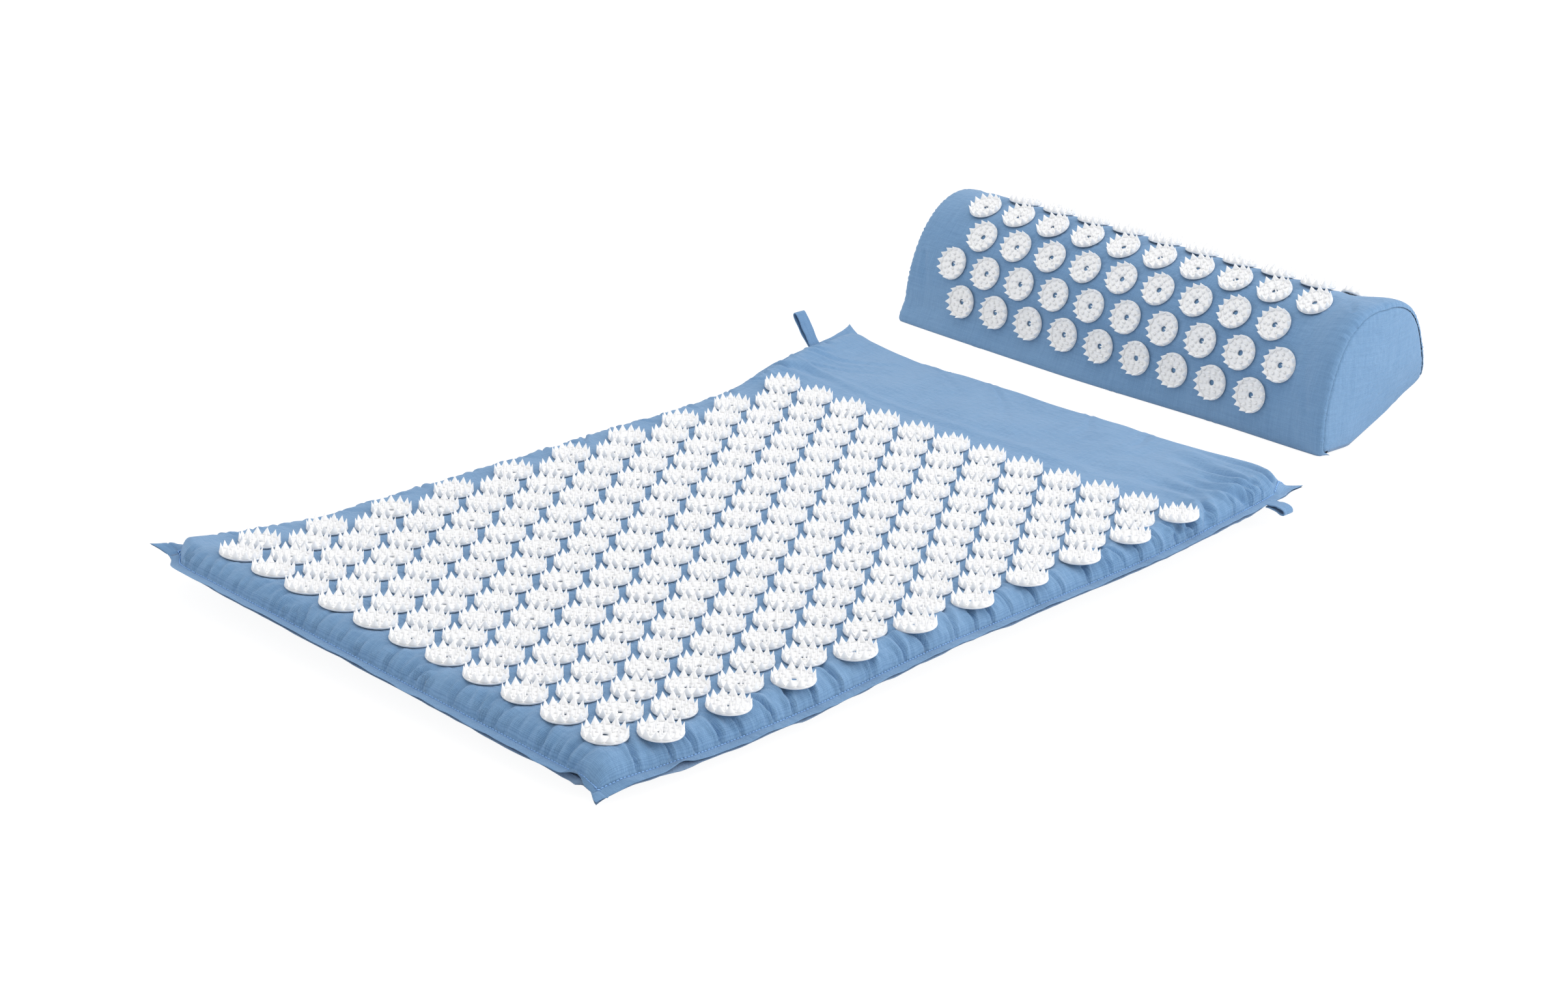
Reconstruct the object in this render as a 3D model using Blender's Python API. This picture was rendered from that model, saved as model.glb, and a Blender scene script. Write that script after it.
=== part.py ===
"""Acupressure mat with its bolster pillow, made as the separate pieces that the real set is sewn from.

The frame is in metres with +Z up. The origin is on the floor, under the middle of the mat's disc
pattern. +Y runs to the head end, where the pillow lies, and +X to the long side that faces the viewer.
"""

from math import asin, cos, hypot, pi, radians, sin

import bmesh
import bpy
from mathutils import Matrix, Vector

# Units and clearances
MM = 0.001
CLOTH = 0.8 * MM
GAP = 0.3 * MM
SEAT_GAP = 0.4 * MM

# Spiked discs, which the mat and the pillow share
DISC_RADIUS = 13.0 * MM
DISC_BASE = 1.8 * MM
DISC_HEIGHT = 6.5 * MM
DISC_SIDES = 8
GLUE_BEAD = 0.8 * MM

# Disc pattern on the mat
MAT_ROWS = 20
MAT_LONG_ROW = 12
DISC_PITCH = 32.0 * MM
ROW_PITCH = 25.6 * MM
SIDE_MARGIN = 31.5 * MM
FOOT_MARGIN = 32.0 * MM
HEAD_MARGIN = 141.6 * MM

# Mat cover and core
MAT_HEIGHT = 21.0 * MM
FLANGE_WIDTH = 8.0 * MM
FLANGE_TOP = 9.0 * MM
SHOULDER_RUN = 14.0 * MM
SHOULDER_SHARES = (0.0, 0.18, 0.5, 1.0)
CORE_FIRST_SHARE = 0.18
CORE_TUCK = 1.6 * MM
SWELL_POWER = 2.2
EAR_REACH = 10.0 * MM
EAR_RISE = 5.0 * MM
EAR_SHARPNESS = 24
SIDE_DRAW = 3.0 * MM
DRAW_SHARPNESS = 6
COVER_SHIFT = 10.0 * MM
HEAD_SKEW = 20.0 * MM
SKEW_START_SHARE = 0.3
WAVE_HEIGHT = 1.4 * MM
MAT_CELLS_ACROSS = 8
MAT_CELLS_ALONG = 22
PATTERN_STEPS = 6

# How far the mat curls off the floor. A start share is where a curl begins, from the middle outwards.
LIFT_FOOT = 9.6 * MM
FOOT_START_SHARE = 0.55
FOOT_LEAN_SHARE = 0.765
LIFT_SIDE = 5.0 * MM
SIDE_START_SHARE = 0.4
SIDE_RAMP_SHARES = (-0.55, -0.15)
SIDE_FADE_SHARES = (0.88, 1.0)
LIFT_BAND = 1.0 * MM
LIFT_BAND_LEFT = 5.5 * MM
BAND_START_SHARE = 0.1
BAND_RAMP_SHARES = (0.4, 0.64)
BAND_FADE_SHARES = (0.75, 1.0)
LIFT_LOOP = 6.0 * MM
LOOP_START_SHARE = 0.7
LOOP_RAMP_SHARES = (0.55, 0.75)
LOOP_FADE_SHARES = (0.9, 1.0)
LIFT_CORNER = 9.0 * MM
CORNER_ACROSS_SHARE = 0.6
CORNER_ALONG_SHARE = 0.45

# Hanging loops at the long sides
LOOP_BAND_WIDTH = 10.0 * MM
LEFT_LOOP_REACH = 29.0 * MM
RIGHT_LOOP_REACH = 16.0 * MM
LOOP_THICKNESS = 1.0 * MM
LOOP_EYE = 3.0 * MM
LOOP_STATION_SHARES = (0.2, 0.45, 0.7, 0.9)
LOOP_EYE_SHARES = (0.45, 0.8, 1.0, 0.75)
LOOP_ROOT_SHARE = 0.08
LEFT_LOOP_TILT = radians(49)
RIGHT_LOOP_TILT = radians(-6)
LEFT_LOOP_SAG = 2.0 * MM
RIGHT_LOOP_SAG = -2.0 * MM

# Zips
TAPE_THICKNESS = 0.8 * MM
TAPE_INSERT = 6.0 * MM
CHAIN_RADIUS = 1.4 * MM
CHAIN_OUT = 3.2 * MM
SLIDER_LENGTH = 8.0 * MM
SLIDER_WALL = 0.8 * MM
LUG_LENGTH = 2.4 * MM
LUG_SINK = 0.3 * MM
PULL_WIDTH = 2.8 * MM
PULL_LENGTH = 18.0 * MM
PULL_THICKNESS = 0.9 * MM
PULL_BARREL = 0.9 * MM
MAT_ZIP_LENGTH = 236.0 * MM
PILLOW_ZIP_LENGTH = 280.0 * MM
ZIP_END_STOP = 2.0 * MM

# Disc pattern on the pillow
PILLOW_ROWS = 7
PILLOW_LONG_ROW = 10
PILLOW_DISC_PITCH = 36.0 * MM
PILLOW_ROW_PITCH = 26.6 * MM
PILLOW_FIRST_ROW = 22.3 * MM
PILLOW_SIDE_MARGIN = 44.5 * MM

# Pillow cover and core
PILLOW_DEPTH = 124.0 * MM
PILLOW_HEIGHT = 100.0 * MM
PILLOW_CORNER = 8.0 * MM
FRONT_CORNER_RUN = 4.0 * MM
PILLOW_DRAW = 2.5 * MM
PILLOW_DRAW_SHARPNESS = 8
PILLOW_DOME = 5.0 * MM
WRAP_UNDER = 6.0 * MM
# A section angle before the front corner's first one: it stands for the end of the strip underneath
WRAP_END_ANGLE = -pi
BASE_RIM_DROP = 0.5 * MM
DOME_SCALE_SHARES = (1.0, 0.8)
DOME_RISE_SHARES = (0.0, 0.62)
DOME_CENTRE_SHARE = 0.45
ARCH_CELLS = 18
CORNER_CELLS = 2
PILLOW_CELLS_ALONG = 10
CORE_RINGS = 5
UNDERSIDE_CELLS = 4

# Place of the pillow on the floor
PILLOW_X = -68.7 * MM
PILLOW_Y = 486.3 * MM
PILLOW_YAW = radians(-3.56)

# Sizes worked out from the ones above
MAT_WIDTH = (MAT_LONG_ROW - 1) * DISC_PITCH + 2 * SIDE_MARGIN
MAT_LENGTH = (MAT_ROWS - 1) * ROW_PITCH + FOOT_MARGIN + HEAD_MARGIN
HALF_WIDTH = MAT_WIDTH / 2
HALF_LENGTH = MAT_LENGTH / 2
SEAM_X = HALF_WIDTH - FLANGE_WIDTH
SEAM_Y = HALF_LENGTH - FLANGE_WIDTH
FLANGE_SPLIT = TAPE_THICKNESS + 2 * GAP
FLANGE_BOTTOM = FLANGE_TOP - 2 * CLOTH - FLANGE_SPLIT
FLANGE_MIDDLE = FLANGE_TOP - CLOTH - FLANGE_SPLIT / 2
LINING = CLOTH + GAP
CELL_ACROSS = 2 * (SEAM_X - SHOULDER_RUN) / MAT_CELLS_ACROSS
CELL_ALONG = 2 * (SEAM_Y - SHOULDER_RUN) / MAT_CELLS_ALONG
LOOP_Y = SEAM_Y - SHOULDER_RUN - CELL_ALONG
PILLOW_LENGTH = (PILLOW_LONG_ROW - 1) * PILLOW_DISC_PITCH + 2 * PILLOW_SIDE_MARGIN
PILLOW_SEAM_X = PILLOW_LENGTH / 2 - PILLOW_DOME
CHAIN_SPACE = CHAIN_RADIUS + GAP
SLIDER_REACH = CHAIN_SPACE + SLIDER_WALL
TINY_STEP = GAP / 3


def clear_scene():
    for item in list(bpy.data.objects):
        bpy.data.objects.remove(item, do_unlink=True)


def make_material(name, colour, roughness, metallic=0.0):
    material = bpy.data.materials.new(name)
    material.use_nodes = True
    shader = material.node_tree.nodes["Principled BSDF"]
    shader.inputs["Base Color"].default_value = (*colour, 1.0)
    shader.inputs["Roughness"].default_value = roughness
    shader.inputs["Metallic"].default_value = metallic
    return material


def add_object(name, bm, material, parent=None, location=(0, 0, 0)):
    """Turns a finished bmesh into a smooth-shaded object with its own origin."""
    mesh = bpy.data.meshes.new(name)
    bm.to_mesh(mesh)
    bm.free()
    mesh.shade_smooth()
    mesh.set_sharp_from_angle(angle=radians(35))
    mesh.materials.append(material)
    item = bpy.data.objects.new(name, mesh)
    item.location = location
    item.parent = parent
    bpy.context.scene.collection.objects.link(item)
    return item


def add_empty(name, location, yaw):
    item = bpy.data.objects.new(name, None)
    item.location = location
    item.rotation_euler.z = yaw
    bpy.context.scene.collection.objects.link(item)
    return item


def thicken(item, thickness):
    """Gives a sheet its thickness on the side away from its faces' normals."""
    solidify = item.modifiers.new("Cloth thickness", "SOLIDIFY")
    solidify.thickness = thickness
    solidify.offset = -1
    solidify.use_even_offset = True


def grid_mesh(across, along, place, face_down=False):
    """A sheet of quads over two lists of lines. place(u, v) gives each crossing's point."""
    bm = bmesh.new()
    rows = [[bm.verts.new(place(u, v)) for u in across] for v in along]
    for low, high in zip(rows, rows[1:]):
        for corners in zip(low, low[1:], high[1:], high):
            bm.faces.new(corners)
    if face_down:
        bmesh.ops.reverse_faces(bm, faces=bm.faces[:])
    return bm


def prism_mesh(outline, run):
    """A solid from a flat outline, carried along the run and centred on it."""
    bm = bmesh.new()
    run = Vector(run)
    start = [bm.verts.new(Vector(point) - run / 2) for point in outline]
    face = bm.faces.new(start)
    moved = bmesh.ops.extrude_face_region(bm, geom=[face], use_keep_orig=True)
    corners = [part for part in moved["geom"] if isinstance(part, bmesh.types.BMVert)]
    bmesh.ops.translate(bm, verts=corners, vec=run)
    bmesh.ops.recalc_face_normals(bm, faces=bm.faces[:])
    return bm


# Shape of the mat

def swell(inset):
    """Share of its full height that the filled cover has reached, this far inside the seam."""
    reached = min(max(inset / SHOULDER_RUN, 0.0), 1.0)
    return (1 - (1 - reached) ** SWELL_POWER) ** (1 / SWELL_POWER)


def fullness(u, v, inset=0.0):
    return swell(SEAM_X - abs(u) - inset) * swell(SEAM_Y - abs(v) - inset)


def past(value, start_share):
    """How far a share has gone past its start, squared so that the cloth leaves the floor gently."""
    return max(0.0, (value - start_share) / (1 - start_share)) ** 2


def ramp(value, ends):
    """Rises smoothly from 0 to 1 between two ends."""
    share = min(max((value - ends[0]) / (ends[1] - ends[0]), 0.0), 1.0)
    return share * share * (3 - 2 * share)


def stretch_between(value, rise_ends, fade_ends):
    return ramp(value, rise_ends) * (1 - ramp(value, fade_ends))


def lift(u, v):
    """Height by which the mat curls off the floor at its foot, its sides and its head."""
    across = u / HALF_WIDTH
    along = v / HALF_LENGTH
    foot = LIFT_FOOT * (1 - FOOT_LEAN_SHARE * across) * past(-along, FOOT_START_SHARE)
    side = LIFT_SIDE * past(across, SIDE_START_SHARE)
    side *= stretch_between(along, SIDE_RAMP_SHARES, SIDE_FADE_SHARES)
    band = LIFT_BAND + LIFT_BAND_LEFT * past(-across, BAND_START_SHARE)
    band *= stretch_between(along, BAND_RAMP_SHARES, BAND_FADE_SHARES)
    loop = LIFT_LOOP * past(-across, LOOP_START_SHARE)
    loop *= stretch_between(along, LOOP_RAMP_SHARES, LOOP_FADE_SHARES)
    corner = LIFT_CORNER * past(-across, CORNER_ACROSS_SHARE) * past(along, CORNER_ALONG_SHARE)
    return foot + side + band + loop + corner


def plan(u, v):
    """Where a point of the flat pattern lies.

    The sides draw in and the corners stand out as ears. The cover lies a little to the left of its
    discs, and its head end is pulled further that way.
    """
    across = abs(u) / HALF_WIDTH
    along = abs(v) / HALF_LENGTH
    ear = (across * along) ** EAR_SHARPNESS
    drawn = SIDE_DRAW * across**DRAW_SHARPNESS * (1 - along**2)
    skewed = COVER_SHIFT + HEAD_SKEW * past(v / HALF_LENGTH, SKEW_START_SHARE)
    x = u + (EAR_REACH * ear - drawn) * (1 if u > 0 else -1) - skewed
    y = v + EAR_REACH * ear * (1 if v > 0 else -1)
    return Vector((x, y, lift(u, v) + EAR_RISE * ear))


def lift_at(x, y):
    """The cover's lift over a place on the floor, found by stepping back to the flat pattern."""
    u, v = x, y
    for _ in range(PATTERN_STEPS):
        reached = plan(u, v)
        u += x - reached.x
        v += y - reached.y
    return lift(u, v)


def wave(u, v):
    """Share of the flange's wave at its outer edge. The head edge stays straight for the zip."""
    if abs(u) >= HALF_WIDTH:
        return (1 - cos(pi * (v - LOOP_Y) / CELL_ALONG)) / 2
    if v <= -HALF_LENGTH:
        return (1 - cos(pi * u / CELL_ACROSS)) / 2
    return 0.0


def top_cover_point(u, v):
    height = FLANGE_TOP + (MAT_HEIGHT - FLANGE_TOP) * fullness(u, v) + WAVE_HEIGHT * wave(u, v)
    return plan(u, v) + Vector((0, 0, height))


def bottom_cover_point(u, v):
    height = FLANGE_BOTTOM * (1 - fullness(u, v)) - WAVE_HEIGHT * wave(u, v)
    return plan(u, v) + Vector((0, 0, height))


def core_top_point(u, v):
    height = FLANGE_TOP + (MAT_HEIGHT - FLANGE_TOP) * fullness(u, v, LINING + CORE_TUCK) - LINING
    return plan(u, v) + Vector((0, 0, height))


def core_bottom_height(u, v):
    return FLANGE_BOTTOM * (1 - fullness(u, v, LINING + CORE_TUCK)) + LINING + lift(u, v)


def pattern_lines(seam, edge, cells, first_share=None):
    """Grid lines from edge to edge: close together over the shoulders and even between them."""
    shares = [share for share in SHOULDER_SHARES if first_share is None or share >= first_share]
    outer = [seam - share * SHOULDER_RUN for share in shares]
    if first_share is None:
        outer = [edge] + outer
    inner = outer[-1]
    between = [-inner + 2 * inner * step / cells for step in range(1, cells)]
    return [-line for line in outer] + between + outer[::-1]


def make_mat_cover(fabric, lining):
    across = pattern_lines(SEAM_X, HALF_WIDTH, MAT_CELLS_ACROSS)
    along = pattern_lines(SEAM_Y, HALF_LENGTH, MAT_CELLS_ALONG)
    top = add_object("mat_top_panel", grid_mesh(across, along, top_cover_point), fabric)
    thicken(top, CLOTH)
    under = grid_mesh(across, along, bottom_cover_point, face_down=True)
    bottom = add_object("mat_bottom_panel", under, lining)
    thicken(bottom, CLOTH)


def make_mat_core(foam):
    """The foam sheet: its top follows the cover, and its underside is the same grid carried down."""
    across = pattern_lines(SEAM_X, HALF_WIDTH, MAT_CELLS_ACROSS, CORE_FIRST_SHARE)
    along = pattern_lines(SEAM_Y, HALF_LENGTH, MAT_CELLS_ALONG, CORE_FIRST_SHARE)
    bm = grid_mesh(across, along, core_top_point)
    places = [(u, v) for v in along for u in across]
    heights = {vert.index: core_bottom_height(*place) for vert, place in zip(numbered(bm), places)}
    layer = bm.verts.layers.int.new("place")
    for vert in bm.verts:
        vert[layer] = vert.index
    moved = bmesh.ops.extrude_face_region(bm, geom=bm.faces[:], use_keep_orig=True)
    for part in moved["geom"]:
        if isinstance(part, bmesh.types.BMVert):
            part.co.z = heights[part[layer]]
    bmesh.ops.recalc_face_normals(bm, faces=bm.faces[:])
    add_object("mat_foam_core", bm, foam)


def numbered(bm):
    bm.verts.index_update()
    bm.verts.ensure_lookup_table()
    return bm.verts


# Spiked discs

def disc_frame(origin, along_row, across_row):
    """A frame on the cloth: x along the row, z out of the surface."""
    x_axis = along_row.normalized()
    z_axis = x_axis.cross(across_row).normalized()
    y_axis = z_axis.cross(x_axis)
    turned = Matrix((x_axis, y_axis, z_axis)).transposed().to_4x4()
    return Matrix.Translation(origin + z_axis * SEAT_GAP) @ turned


def add_disc(bm, frame):
    """One disc as a crown: every second corner of its rim stands up as a spike."""
    corners = range(DISC_SIDES)
    turn = pi / DISC_SIDES
    places = [(cos((2 * k + 1) * turn), sin((2 * k + 1) * turn)) for k in corners]
    rim = [Vector((x * DISC_RADIUS, y * DISC_RADIUS, 0)) for x, y in places]
    tops = [DISC_HEIGHT if k % 2 else DISC_BASE for k in corners]
    low = [bm.verts.new(frame @ point) for point in rim]
    high = [bm.verts.new(frame @ (point + Vector((0, 0, top)))) for point, top in zip(rim, tops)]
    middle = bm.verts.new(frame @ Vector((0, 0, DISC_BASE)))
    for k in corners:
        bm.faces.new((middle, high[k], high[(k + 1) % DISC_SIDES]))
    for k in range(1, DISC_SIDES - 1):
        bm.faces.new((low[0], low[k + 1], low[k]))
    return low, high


def add_bead_end(bm, frame, side, low, high):
    """Opens one side of a disc for the glue bead and gives back its two foot corners and its crest."""
    following = (side + 1) % DISC_SIDES
    reach = DISC_RADIUS * cos(pi / DISC_SIDES) * (1 if side == DISC_SIDES - 1 else -1)
    crest = bm.verts.new(frame @ Vector((reach, 0, GLUE_BEAD)))
    bm.faces.new((low[side], crest, high[side]))
    bm.faces.new((crest, high[following], high[side]))
    bm.faces.new((crest, low[following], high[following]))
    return low[side], low[following], crest


def disc_row_mesh(frames):
    """A row of discs joined at their feet by the bead of glue that they are set in."""
    bm = bmesh.new()
    right_side = DISC_SIDES - 1
    left_side = DISC_SIDES // 2 - 1
    last = len(frames) - 1
    previous = None
    for number, frame in enumerate(frames):
        low, high = add_disc(bm, frame)
        open_sides = {}
        if number > 0:
            open_sides[left_side] = add_bead_end(bm, frame, left_side, low, high)
        if number < last:
            open_sides[right_side] = add_bead_end(bm, frame, right_side, low, high)
        for k in range(DISC_SIDES):
            if k not in open_sides:
                after = (k + 1) % DISC_SIDES
                bm.faces.new((low[k], low[after], high[after], high[k]))
        if previous:
            near_a, near_b, near_crest = previous
            far_b, far_a, far_crest = open_sides[left_side]
            bm.faces.new((near_a, near_b, far_b, far_a))
            bm.faces.new((near_a, far_a, far_crest, near_crest))
            bm.faces.new((far_b, near_b, near_crest, far_crest))
        previous = open_sides.get(right_side)
    bmesh.ops.triangulate(bm, faces=bm.faces[:])
    return bm


def row_places(count, pitch):
    return [(number - (count - 1) / 2) * pitch for number in range(count)]


def mat_disc_frame(x, y):
    step = TINY_STEP
    origin = Vector((x, y, MAT_HEIGHT + lift_at(x, y)))
    along_row = Vector((2 * step, 0, lift_at(x + step, y) - lift_at(x - step, y)))
    across_row = Vector((0, 2 * step, lift_at(x, y + step) - lift_at(x, y - step)))
    return disc_frame(origin, along_row, across_row)


def make_mat_discs(plastic):
    for row in range(1, MAT_ROWS + 1):
        count = MAT_LONG_ROW if row % 2 else MAT_LONG_ROW - 1
        y = HALF_LENGTH - HEAD_MARGIN - (row - 1) * ROW_PITCH
        frames = [mat_disc_frame(x, y) for x in row_places(count, DISC_PITCH)]
        add_object(f"mat_disc_row_{row:02d}", disc_row_mesh(frames), plastic)


# Hanging loops

def loop_outline(reach, extra, root, tip, sag):
    """Side view of a loop's inner or outer edge: x outwards from the mat, z across the eye."""
    upper = []
    for station_share, eye_share in zip(LOOP_STATION_SHARES, LOOP_EYE_SHARES):
        upper.append((station_share * reach, eye_share * LOOP_EYE / 2 + extra))
    points = [(root, 0.0)] + upper + [(tip, 0.0)] + [(x, -z) for x, z in reversed(upper)]
    return [(x, z + sag * (x / reach) ** 2) for x, z in points]


def make_loop(name, side, reach, tilt, sag, fabric):
    """A strap folded back on itself. Its root is a round edge that turns in the mouth of the flange."""
    outer = loop_outline(reach, LOOP_THICKNESS, -LOOP_THICKNESS, reach, sag)
    inner = loop_outline(reach, 0.0, LOOP_ROOT_SHARE * reach, reach - LOOP_THICKNESS, sag)
    bm = bmesh.new()
    rings = []
    for y in (-LOOP_BAND_WIDTH / 2, LOOP_BAND_WIDTH / 2):
        for outline in (outer, inner):
            rings.append([bm.verts.new((x, y, z)) for x, z in outline])
    outer_near, inner_near, outer_far, inner_far = rings
    count = len(outer)
    for ring_a, ring_b in (
        (outer_near, outer_far),
        (outer_far, inner_far),
        (inner_far, inner_near),
        (inner_near, outer_near),
    ):
        for k in range(count):
            after = (k + 1) % count
            bm.faces.new((ring_a[k], ring_a[after], ring_b[after], ring_b[k]))
    bmesh.ops.recalc_face_normals(bm, faces=bm.faces[:])
    turn = Matrix.Rotation(-tilt, 4, "Y")
    if side < 0:
        turn = Matrix.Rotation(pi, 4, "Z") @ turn
    bmesh.ops.transform(bm, matrix=turn, verts=bm.verts[:])
    edge = plan(side * HALF_WIDTH, LOOP_Y)
    hinge = edge + Vector((side * (LOOP_THICKNESS + GAP), 0, FLANGE_MIDDLE))
    add_object(name, bm, fabric, location=hinge)


# Zips

def zip_place(length):
    """Where the slider stands when the zip is closed, measured along the zip from its middle."""
    return -length / 2 + ZIP_END_STOP + SLIDER_LENGTH / 2


def make_zip(owner, edge, insert, length, parent, tape_cloth, metal):
    """Tape and chain, slider and pull tab, at the edge point where the tape leaves the cover."""
    corners = range(DISC_SIDES)
    turn = pi / DISC_SIDES
    half_tape = TAPE_THICKNESS / 2
    chain = [
        (CHAIN_OUT - CHAIN_RADIUS * cos((2 * k + 1) * turn), -CHAIN_RADIUS * sin((2 * k + 1) * turn))
        for k in corners
    ]
    root = CHAIN_OUT - CHAIN_RADIUS * cos(turn)
    outline = [(root, half_tape), (-insert, half_tape), (-insert, -half_tape), (root, -half_tape)] + chain
    tape = prism_mesh([(0, y, z) for y, z in outline], (length, 0, 0))
    add_object(f"{owner}_zip_tape", tape, tape_cloth, parent, edge)
    make_slider(owner, edge, length, parent, metal)


def make_slider(owner, edge, length, parent, metal):
    slot = TAPE_THICKNESS / 2 + GAP
    reach = SLIDER_REACH
    space = CHAIN_SPACE
    outline = [
        (-reach, slot),
        (-reach, reach),
        (reach, reach),
        (reach, -reach),
        (-reach, -reach),
        (-reach, -slot),
        (-space, -slot),
        (-space, -space),
        (space, -space),
        (space, space),
        (-space, space),
        (-space, slot),
    ]
    body = prism_mesh([(0, y, z) for y, z in outline], (SLIDER_LENGTH, 0, 0))
    place = edge + Vector((zip_place(length), CHAIN_OUT, 0))
    slider = add_object(f"{owner}_zip_slider", body, metal, parent, place)
    barrel_height = reach + GAP + PULL_BARREL
    lug_top = barrel_height + PULL_BARREL
    lug_base = reach - LUG_SINK
    lugs = bmesh.new()
    for side in (-1, 1):
        middle = Vector((0, side * (PULL_WIDTH / 2 + GAP + SLIDER_WALL / 2), (lug_top + lug_base) / 2))
        size = Matrix.Diagonal((LUG_LENGTH, SLIDER_WALL, lug_top - lug_base, 1))
        bmesh.ops.create_cube(lugs, size=1, matrix=Matrix.Translation(middle) @ size)
    helper = add_object(f"{owner}_zip_lugs", lugs, metal, parent, place)
    helper.hide_render = True
    helper.display_type = "WIRE"
    union = slider.modifiers.new("Lugs", "BOOLEAN")
    union.operation = "UNION"
    union.object = helper
    make_pull(owner, place + Vector((0, 0, barrel_height)), parent, metal)


def make_pull(owner, hinge, parent, metal):
    """The pull tab: a barrel between the lugs and a flat tongue that lies along the chain."""
    half = PULL_THICKNESS / 2
    start = asin(half / PULL_BARREL)
    steps = DISC_SIDES
    turn = (2 * pi - 2 * start) / steps
    outline = [
        (PULL_BARREL * cos(start + k * turn), PULL_BARREL * sin(start + k * turn)) for k in range(steps + 1)
    ]
    outline += [(PULL_LENGTH - half, -half), (PULL_LENGTH, 0.0), (PULL_LENGTH - half, half)]
    tab = prism_mesh([(x, 0, z) for x, z in outline], (0, PULL_WIDTH, 0))
    add_object(f"{owner}_zip_pull_tab", tab, metal, parent, hinge)


# Shape of the pillow

def pillow_draw(x):
    """How far the cover is drawn in at this distance from the middle, most at the end seams."""
    return PILLOW_DRAW * min(abs(x) / PILLOW_SEAM_X, 1.0) ** PILLOW_DRAW_SHARPNESS


def section_point(angle, x, inset=0.0):
    """A point of the D-shaped section: front corner below 0, arch to pi, rear corner above pi."""
    half_depth = PILLOW_DEPTH / 2 - pillow_draw(x) - inset
    top = PILLOW_HEIGHT - pillow_draw(x) - inset
    corner = PILLOW_CORNER - inset
    if angle < 0:
        run = FRONT_CORNER_RUN - inset
        return (-half_depth + run - run * cos(angle), PILLOW_CORNER + corner * sin(angle))
    if angle > pi:
        return (half_depth - corner - corner * cos(angle), PILLOW_CORNER + corner * sin(angle))
    return (-half_depth * cos(angle), PILLOW_CORNER + (top - PILLOW_CORNER) * sin(angle))


def corner_angles(start):
    return [start + k * pi / 2 / CORNER_CELLS for k in range(CORNER_CELLS)]


def arch_angles():
    return [k * pi / ARCH_CELLS for k in range(ARCH_CELLS + 1)]


def wrap_point(x, angle):
    """The wrap panel: a strip under the front corner, then round the front, over the top and down."""
    if angle < -pi / 2:
        y, z = section_point(-pi / 2, x)
        return Vector((x, y + WRAP_UNDER, z))
    y, z = section_point(angle, x)
    return Vector((x, y, z))


def make_pillow_wrap(parent, fabric):
    length = PILLOW_SEAM_X - LINING
    across = [length * (2 * k / PILLOW_CELLS_ALONG - 1) for k in range(PILLOW_CELLS_ALONG + 1)]
    stations = [WRAP_END_ANGLE] + corner_angles(-pi / 2) + arch_angles()
    panel = add_object("pillow_wrap_panel", grid_mesh(across, stations, wrap_point), fabric, parent)
    thicken(panel, CLOTH)


def make_pillow_base(parent, lining):
    """The underside: flat on the floor, and turned up at the back to meet the zip."""
    length = PILLOW_SEAM_X - LINING
    across = [length * (2 * k / PILLOW_CELLS_ALONG - 1) for k in range(PILLOW_CELLS_ALONG + 1)]
    last = pi + asin((FLANGE_SPLIT + BASE_RIM_DROP) / PILLOW_CORNER)
    turned_up = [3 * pi / 2, (3 * pi / 2 + last) / 2, last]

    def base_point(x, station):
        start = section_point(-pi / 2, x)[0] + WRAP_UNDER + GAP
        if station < 1:
            end = section_point(3 * pi / 2, x)[0]
            return Vector((x, start + (end - start) * station, 0))
        y, z = section_point(station, x)
        return Vector((x, y, z))

    flat = [k / UNDERSIDE_CELLS for k in range(UNDERSIDE_CELLS)]
    bm = grid_mesh(across, flat + turned_up, base_point, face_down=True)
    panel = add_object("pillow_base_panel", bm, lining, parent)
    thicken(panel, CLOTH)


def closed_section(x, inset=0.0):
    """The whole D as a ring of points, with the underside cut into a few lengths."""
    angles = corner_angles(-pi / 2) + arch_angles() + corner_angles(pi)[1:] + [3 * pi / 2]
    ring = [section_point(angle, x, inset) for angle in angles]
    start, end = ring[-1], ring[0]
    for k in range(1, UNDERSIDE_CELLS):
        share = k / UNDERSIDE_CELLS
        ring.append((start[0] + (end[0] - start[0]) * share, start[1]))
    return ring


def dome_rings(bm, seam_x, inset, side):
    """Rings that step up the domed end of the pillow, then its middle point."""
    centre = DOME_CENTRE_SHARE * PILLOW_HEIGHT
    ring = closed_section(PILLOW_SEAM_X, inset)
    rings = []
    for scale_share, rise_share in zip(DOME_SCALE_SHARES, DOME_RISE_SHARES):
        x = side * (seam_x + rise_share * PILLOW_DOME)
        points = [(x, y * scale_share, centre + (z - centre) * scale_share) for y, z in ring]
        rings.append([bm.verts.new(point) for point in points])
    middle = bm.verts.new((side * (seam_x + PILLOW_DOME), 0, centre))
    return rings, middle


def bridge(bm, ring_a, ring_b):
    count = len(ring_a)
    for k in range(count):
        after = (k + 1) % count
        bm.faces.new((ring_a[k], ring_a[after], ring_b[after], ring_b[k]))


def fan(bm, ring, middle):
    count = len(ring)
    for k in range(count):
        bm.faces.new((ring[k], ring[(k + 1) % count], middle))


def make_pillow_end(name, side, parent, fabric):
    bm = bmesh.new()
    rings, middle = dome_rings(bm, PILLOW_SEAM_X, 0.0, side)
    bridge(bm, rings[0], rings[1])
    fan(bm, rings[1], middle)
    outward = sum((face.normal.x for face in updated(bm)), 0.0) * side
    if outward < 0:
        bmesh.ops.reverse_faces(bm, faces=bm.faces[:])
    panel = add_object(name, bm, fabric, parent)
    thicken(panel, CLOTH)


def updated(bm):
    bm.normal_update()
    return bm.faces


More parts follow.
